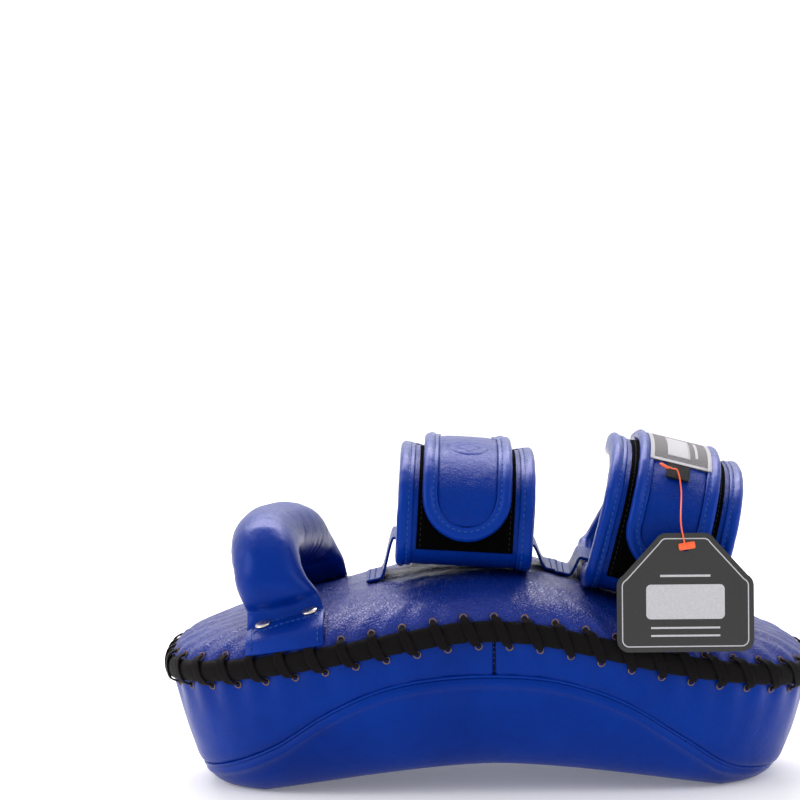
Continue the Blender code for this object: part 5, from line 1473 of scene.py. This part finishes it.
def label_patch(name, x0, x1, s0, s1, out, thick, mat, rows_n=60, cols=44, reps=(), wave=0.0):
    g = np.array([[on_flap(s, x, out) for x in np.linspace(x0, x1, cols)] for s in np.linspace(s0, s1, rows_n)])
    if wave:
        n = grid_normals(g, False)
        g = g + n * (wave * noise_at(g, 0.12, 2.0, 2))[..., None]
    uv = np.array([[(x, s) for x in np.linspace(x0, x1, cols)] for s in np.linspace(s0, s1, rows_n)]).reshape(-1, 2)
    centre = cuff_2.world(0, 0, cuff_2.b)
    v, f = sheet_solid(g, thick, False, lambda q: q - centre)
    return piece(name, v, f, mat, "flap_2", reps, uv=np.concatenate([uv, uv]))


label_patch("label_ground", -LABEL_HALF, LABEL_HALF, LABEL_START, LABEL_START + LABEL_LENGTH, 8.0, 1.4, mat_check, reps=("woven_label",))
e = 2.6
for name, x0, x1, s0, s1 in (
    ("label_edge_left", -LABEL_HALF, -LABEL_HALF + e, LABEL_START, LABEL_START + LABEL_LENGTH),
    ("label_edge_right", LABEL_HALF - e, LABEL_HALF, LABEL_START, LABEL_START + LABEL_LENGTH),
    ("label_edge_top", -LABEL_HALF + e, LABEL_HALF - e, LABEL_START, LABEL_START + e),
    ("label_edge_low", -LABEL_HALF + e, LABEL_HALF - e, LABEL_START + LABEL_LENGTH - e, LABEL_START + LABEL_LENGTH),
    ("label_bar_wide", -9.0, 6.0, LABEL_START + 9.0, LABEL_START + LABEL_LENGTH - 9.0),
    ("label_bar_thin", 9.5, 11.3, LABEL_START + 12.0, LABEL_START + LABEL_LENGTH - 12.0),
):
    label_patch(name, x0, x1, s0, s1, 8.25, 0.6, mat_silver, rows_n=60, cols=8)
runs = []
for x in (-LABEL_HALF + 1.2, LABEL_HALF - 1.2):
    ss = np.linspace(LABEL_START + 1, LABEL_START + LABEL_LENGTH - 1, 80)
    runs += stitch_run([on_flap(s, x, 8.25) for s in ss], [cuff_2.out_dir(path, s) for s in ss], 1.9, 1.0, 0.24, 0.0)
v, f = merge(runs)
piece("label_thread", v, f, mat_silver, "flap_2")

tab_s = LABEL_START + LABEL_LENGTH + 0.6
g = []
for s in np.linspace(tab_s - 3.0, tab_s + 14.0, 30):
    lift = 8.0 + 1.2 * max(0.0, (s - tab_s) / 14.0) ** 2
    g.append([on_flap(s, x, lift) for x in np.linspace(-9, 6, 20)])
centre = cuff_2.world(0, 0, cuff_2.b)
v, f = sheet_solid(np.array(g), 0.8, False, lambda q: q - centre)
piece("size_tab_cloth", v, f, mat_tape, "flap_2", ("size_tab",))

# Card
TAG_X = 121.5
TAG_FOOT, TAG_HEAD = np.array([TAG_X, -103.0, 98.0]), np.array([TAG_X, -91.0, 175.0])
tag_up = unit(TAG_HEAD - TAG_FOOT)
tag_across = np.array([1.0, 0.0, 0.0])
tag_out = unit(np.cross(tag_across, tag_up))
if tag_out[1] > 0:
    tag_out = -tag_out
tag_height = float(np.linalg.norm(TAG_HEAD - TAG_FOOT))
hole_at = tag_height - 9.0
hinge_tag = TAG_FOOT + tag_up * hole_at


H = tag_height
dense = []
for cx, cz, first, sweep in ((35.8, 10.0, -90, 90), (35.8, 44.0, 0, 60), (12.0, H - 8.2, 30, 60)):
    for k in range(13):
        turn_at = math.radians(first + sweep * k / 12)
        dense.append((cx + 7.9 * math.cos(turn_at), cz + 7.9 * math.sin(turn_at)))
dense = np.array(dense + [(-x, z) for x, z in dense[::-1]])
dense[:, 1] = np.clip(dense[:, 1], 0.2, H - 0.3)


def card_piece(name, poly, low, high, mat, body="tag", reps=(), hole=None):
    """A flat shape in the card's plane, between two heights in front of its back."""
    mesh_b = bmesh.new()
    loops = [poly] + ([hole] if hole is not None else [])
    edges = []
    for lp in loops:
        vs = [mesh_b.verts.new(Vector((TAG_FOOT + tag_across * x + tag_up * z + tag_out * low) * MM)) for x, z in lp]
        edges += [mesh_b.edges.new((vs[i], vs[(i + 1) % len(vs)])) for i in range(len(vs))]
    bmesh.ops.triangle_fill(mesh_b, use_beauty=True, use_dissolve=False, edges=edges)
    faces_ = list(mesh_b.faces)
    ext = bmesh.ops.extrude_face_region(mesh_b, geom=faces_)
    moved = [g_ for g_ in ext["geom"] if isinstance(g_, bmesh.types.BMVert)]
    bmesh.ops.translate(mesh_b, verts=moved, vec=Vector(tag_out * (high - low) * MM))
    bmesh.ops.recalc_face_normals(mesh_b, faces=mesh_b.faces)
    mesh = bpy.data.meshes.new(name)
    mesh_b.to_mesh(mesh)
    mesh_b.free()
    mesh.materials.append(mat)
    ob = bpy.data.objects.new(name, mesh)
    bpy.context.scene.collection.objects.link(ob)
    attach(ob, body)
    if reps:
        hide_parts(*reps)
    return ob


hole = [(3.0 * math.cos(a), hole_at + 3.0 * math.sin(a)) for a in np.linspace(0, 2 * math.pi, 32, endpoint=False)]
card_piece("tag_board", dense, 0.05, 1.15, mat_card, reps=("hang_tag",), hole=hole)


def inset(poly, amount):
    P = np.asarray(poly, float)
    t = unit(np.roll(P, -1, 0) - np.roll(P, 1, 0))
    n = np.stack([-t[:, 1], t[:, 0]], axis=-1)
    area = 0.5 * np.sum(P[:, 0] * np.roll(P[:, 1], -1) - np.roll(P[:, 0], -1) * P[:, 1])
    if area < 0:
        n = -n
    return P + n * amount


def strip_along(name, pts, half_w, mat, low=1.15, high=1.26):
    P = np.array(pts, float)
    t = unit(np.gradient(P, axis=0))
    n = np.stack([-t[:, 1], t[:, 0]], axis=-1)
    w = np.broadcast_to(np.asarray(half_w, float), (len(P),))[:, None]
    poly = np.concatenate([P + n * w, (P - n * w)[::-1]])
    return card_piece(name, poly, low, high, mat)


# Plain silver print: a border line, a plain panel, and rules above and below it
border = np.concatenate([inset(dense, 3.2), inset(dense, 3.2)[:1]])
band = np.concatenate([inset(dense, 3.9), inset(dense, 3.9)[:1]])
card_border = []
for word, p0, p1 in (("a", 0, len(border) // 2), ("b", len(border) // 2, len(border) - 1)):
    card_border.append(card_piece(f"tag_border_{word}", np.concatenate([border[p0 : p1 + 1], band[p0 : p1 + 1][::-1]]), 1.15, 1.26, mat_print))
panel = []
for cx, cz, first in ((22.0, 26.0, -90), (22.0, 42.0, 0), (-22.0, 42.0, 90), (-22.0, 26.0, 180)):
    for k in range(9):
        turn_at = math.radians(first + 90 * k / 8)
        panel.append((cx + 3.0 * math.cos(turn_at), cz + 3.0 * math.sin(turn_at)))
card_piece("tag_panel", panel, 1.15, 1.26, mat_print)
strip_along("tag_rule_upper", [(x, 50.5) for x in np.linspace(-16, 16, 20)], 0.7, mat_print)
strip_along("tag_rule_lower", [(x, 17.5) for x in np.linspace(-22, 22, 20)], 0.6, mat_print)
strip_along("tag_rule_foot", [(x, 12.5) for x in np.linspace(-22, 22, 20)], 0.6, mat_print)

# Orange pin: bar at the size tab, filament, and its button in front of the card
start_point = on_flap(tab_s + 9.0, -2.0, 10.0)
run = catmull([
    on_flap(tab_s + 7.0, -11.5, 9.9),
    on_flap(tab_s + 8.0, -6.0, 10.3),
    start_point,
    on_flap(tab_s + 22.0, 2.0, 10.0),
    hinge_tag + tag_up * 16.0 + tag_out * 5.5 - tag_across * 3.0,
    hinge_tag + tag_up * 4.0 + tag_out * 4.6 - tag_across * 1.0,
    hinge_tag + tag_out * 3.4,
    hinge_tag + tag_out * 0.6,
    hinge_tag - tag_out * 1.4,
], 10)
v, f = loft(tube(run, 0.5, 10))
piece("pin_filament", v, f, mat_orange, "flap_2", ("tag_pin",))
bar_a, bar_b = on_flap(tab_s + 5.4, -14.5, 9.8), on_flap(tab_s + 8.2, -8.0, 9.9)
v, f = loft(tube(np.linspace(bar_a, bar_b, 8), [0.3, 0.9, 1.05, 1.05, 1.05, 1.05, 0.9, 0.3], 12))
piece("pin_bar", v, f, mat_orange, "flap_2")
c = hinge_tag + tag_out * 3.0 + tag_up * 0.5 + tag_across * 1.0
d = unit(tag_across * 1.0 + tag_up * 0.16)
q = unit(np.cross(d, tag_out))
rings = []
for a_, k in ((-5.3, 0.55), (-5.1, 0.85), (-4.6, 1.0), (0, 1.0), (4.6, 1.0), (5.1, 0.85), (5.3, 0.55)):
    ring = []
    for ang in np.arange(20) * 2 * math.pi / 20:
        cc, ss_ = math.cos(ang), math.sin(ang)
        ring.append(c + d * a_ + q * 2.3 * k * np.sign(cc) * abs(cc) ** 0.6 + tag_out * 1.3 * k * np.sign(ss_) * abs(ss_) ** 0.6)
    rings.append(ring)
v, f = loft(np.array(rings))
piece("pin_button", v, f, mat_orange, "flap_2")

# ---------------------------------------------------------------- hidden CAD pieces keep a plain procedural finish

for name, mat in (
    ("foam_strike_soft", mat_foam), ("foam_back_soft", mat_foam), ("foam_core_firm", mat_firm),
    ("burr_near_1", mat_nickel), ("burr_near_2", mat_nickel), ("burr_far_1", mat_nickel), ("burr_far_2", mat_nickel),
):
    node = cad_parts[name]
    node.data.materials.clear()
    node.data.materials.append(mat)

# ---------------------------------------------------------------- floor, light and camera

floor_mesh = bpy.data.meshes.new("studio_floor")
rows_f = []
for t in np.linspace(0, 1, 60):
    if t < 0.55:
        rows_f.append((-3.0 + 5.0 * t / 0.55, 0.0))
    else:
        a = (t - 0.55) / 0.45 * math.pi / 2
        rows_f.append((2.0 + 1.6 * math.sin(a), 1.6 - 1.6 * math.cos(a)))
rows_f.append((3.6, 5.0))
vv = [(x, y, z - 0.0004) for y, z in rows_f for x in (-6.0, 6.0)]
ff = [(2 * i, 2 * i + 1, 2 * i + 3, 2 * i + 2) for i in range(len(rows_f) - 1)]
floor_mesh.from_pydata(vv, [], ff)
floor_mesh.polygons.foreach_set("use_smooth", [True] * len(floor_mesh.polygons))
fl = Nodes("studio_white")
fvec = fl.coords()
fl.link(fl.ramp(fl.noise(fvec, 3.0, 2.0), ((0.2, (0.93, 0.93, 0.93)), (0.8, (0.96, 0.96, 0.96)))), fl.shader.inputs["Base Color"])
fl.shader.inputs["Roughness"].default_value = 0.9
fl.shader.inputs["Specular IOR Level"].default_value = 0.1
fl.shader.inputs["Emission Color"].default_value = (1.0, 1.0, 1.0, 1.0)
fl.shader.inputs["Emission Strength"].default_value = 0.16
floor_mesh.materials.append(fl.mat)
floor = bpy.data.objects.new("studio_floor", floor_mesh)
bpy.context.scene.collection.objects.link(floor)
floor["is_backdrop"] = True

world = bpy.data.worlds.new("studio")
world.use_nodes = True
world.node_tree.nodes["Background"].inputs["Color"].default_value = (1.0, 1.0, 1.0, 1)
world.node_tree.nodes["Background"].inputs["Strength"].default_value = 0.85
bpy.context.scene.world = world


def area(name, at, to, size, energy, color=(1, 1, 1), size_y=None):
    light = bpy.data.lights.new(name, "AREA")
    light.shape = "RECTANGLE"
    light.size, light.size_y = size, size_y or size
    light.energy, light.color = energy, color
    ob = bpy.data.objects.new(name, light)
    ob.location = at
    ob.rotation_euler = (Vector(to) - Vector(at)).to_track_quat("-Z", "Y").to_euler()
    bpy.context.scene.collection.objects.link(ob)
    ob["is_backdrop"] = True


area("top_back", (-0.15, 1.0, 1.3), (0, 0, 0.1), 1.7, 26, (1.0, 0.92, 0.96), 0.8)
area("left", (-1.5, -0.5, 0.8), (0, 0, 0.1), 0.8, 8, (1, 0.97, 0.98))
area("right", (1.5, -0.6, 0.8), (0, 0, 0.1), 0.8, 5, (1, 0.97, 0.98))

PITCH, TURN, FAR = 10.2, -3.0, 1.85
PIXELS_PER_MM, CENTRE_X, CENTRE_Y = 1.493, 579.0, 605.0
cam = bpy.data.cameras.new("photo_view")
cam.sensor_width = 36.0
aim = np.array([0.059, 0.0, 0.1125])
el, az = math.radians(PITCH), math.radians(TURN)
back_way = np.array([math.sin(az) * math.cos(el), -math.cos(az) * math.cos(el), math.sin(el)])
cam_ob = bpy.data.objects.new("photo_view", cam)
cam_ob.location = Vector(aim + back_way * FAR)
cam_ob.rotation_euler = (Vector(aim) - cam_ob.location).to_track_quat("-Z", "Y").to_euler()
cam.lens = 36.0 * FAR * 1000 * PIXELS_PER_MM / 800
cam.shift_x, cam.shift_y = (400 - CENTRE_X) / 800, (CENTRE_Y - 400) / 800
bpy.context.scene.collection.objects.link(cam_ob)
bpy.context.scene.camera = cam_ob
bpy.context.scene.view_settings.view_transform = "Standard"

low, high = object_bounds()
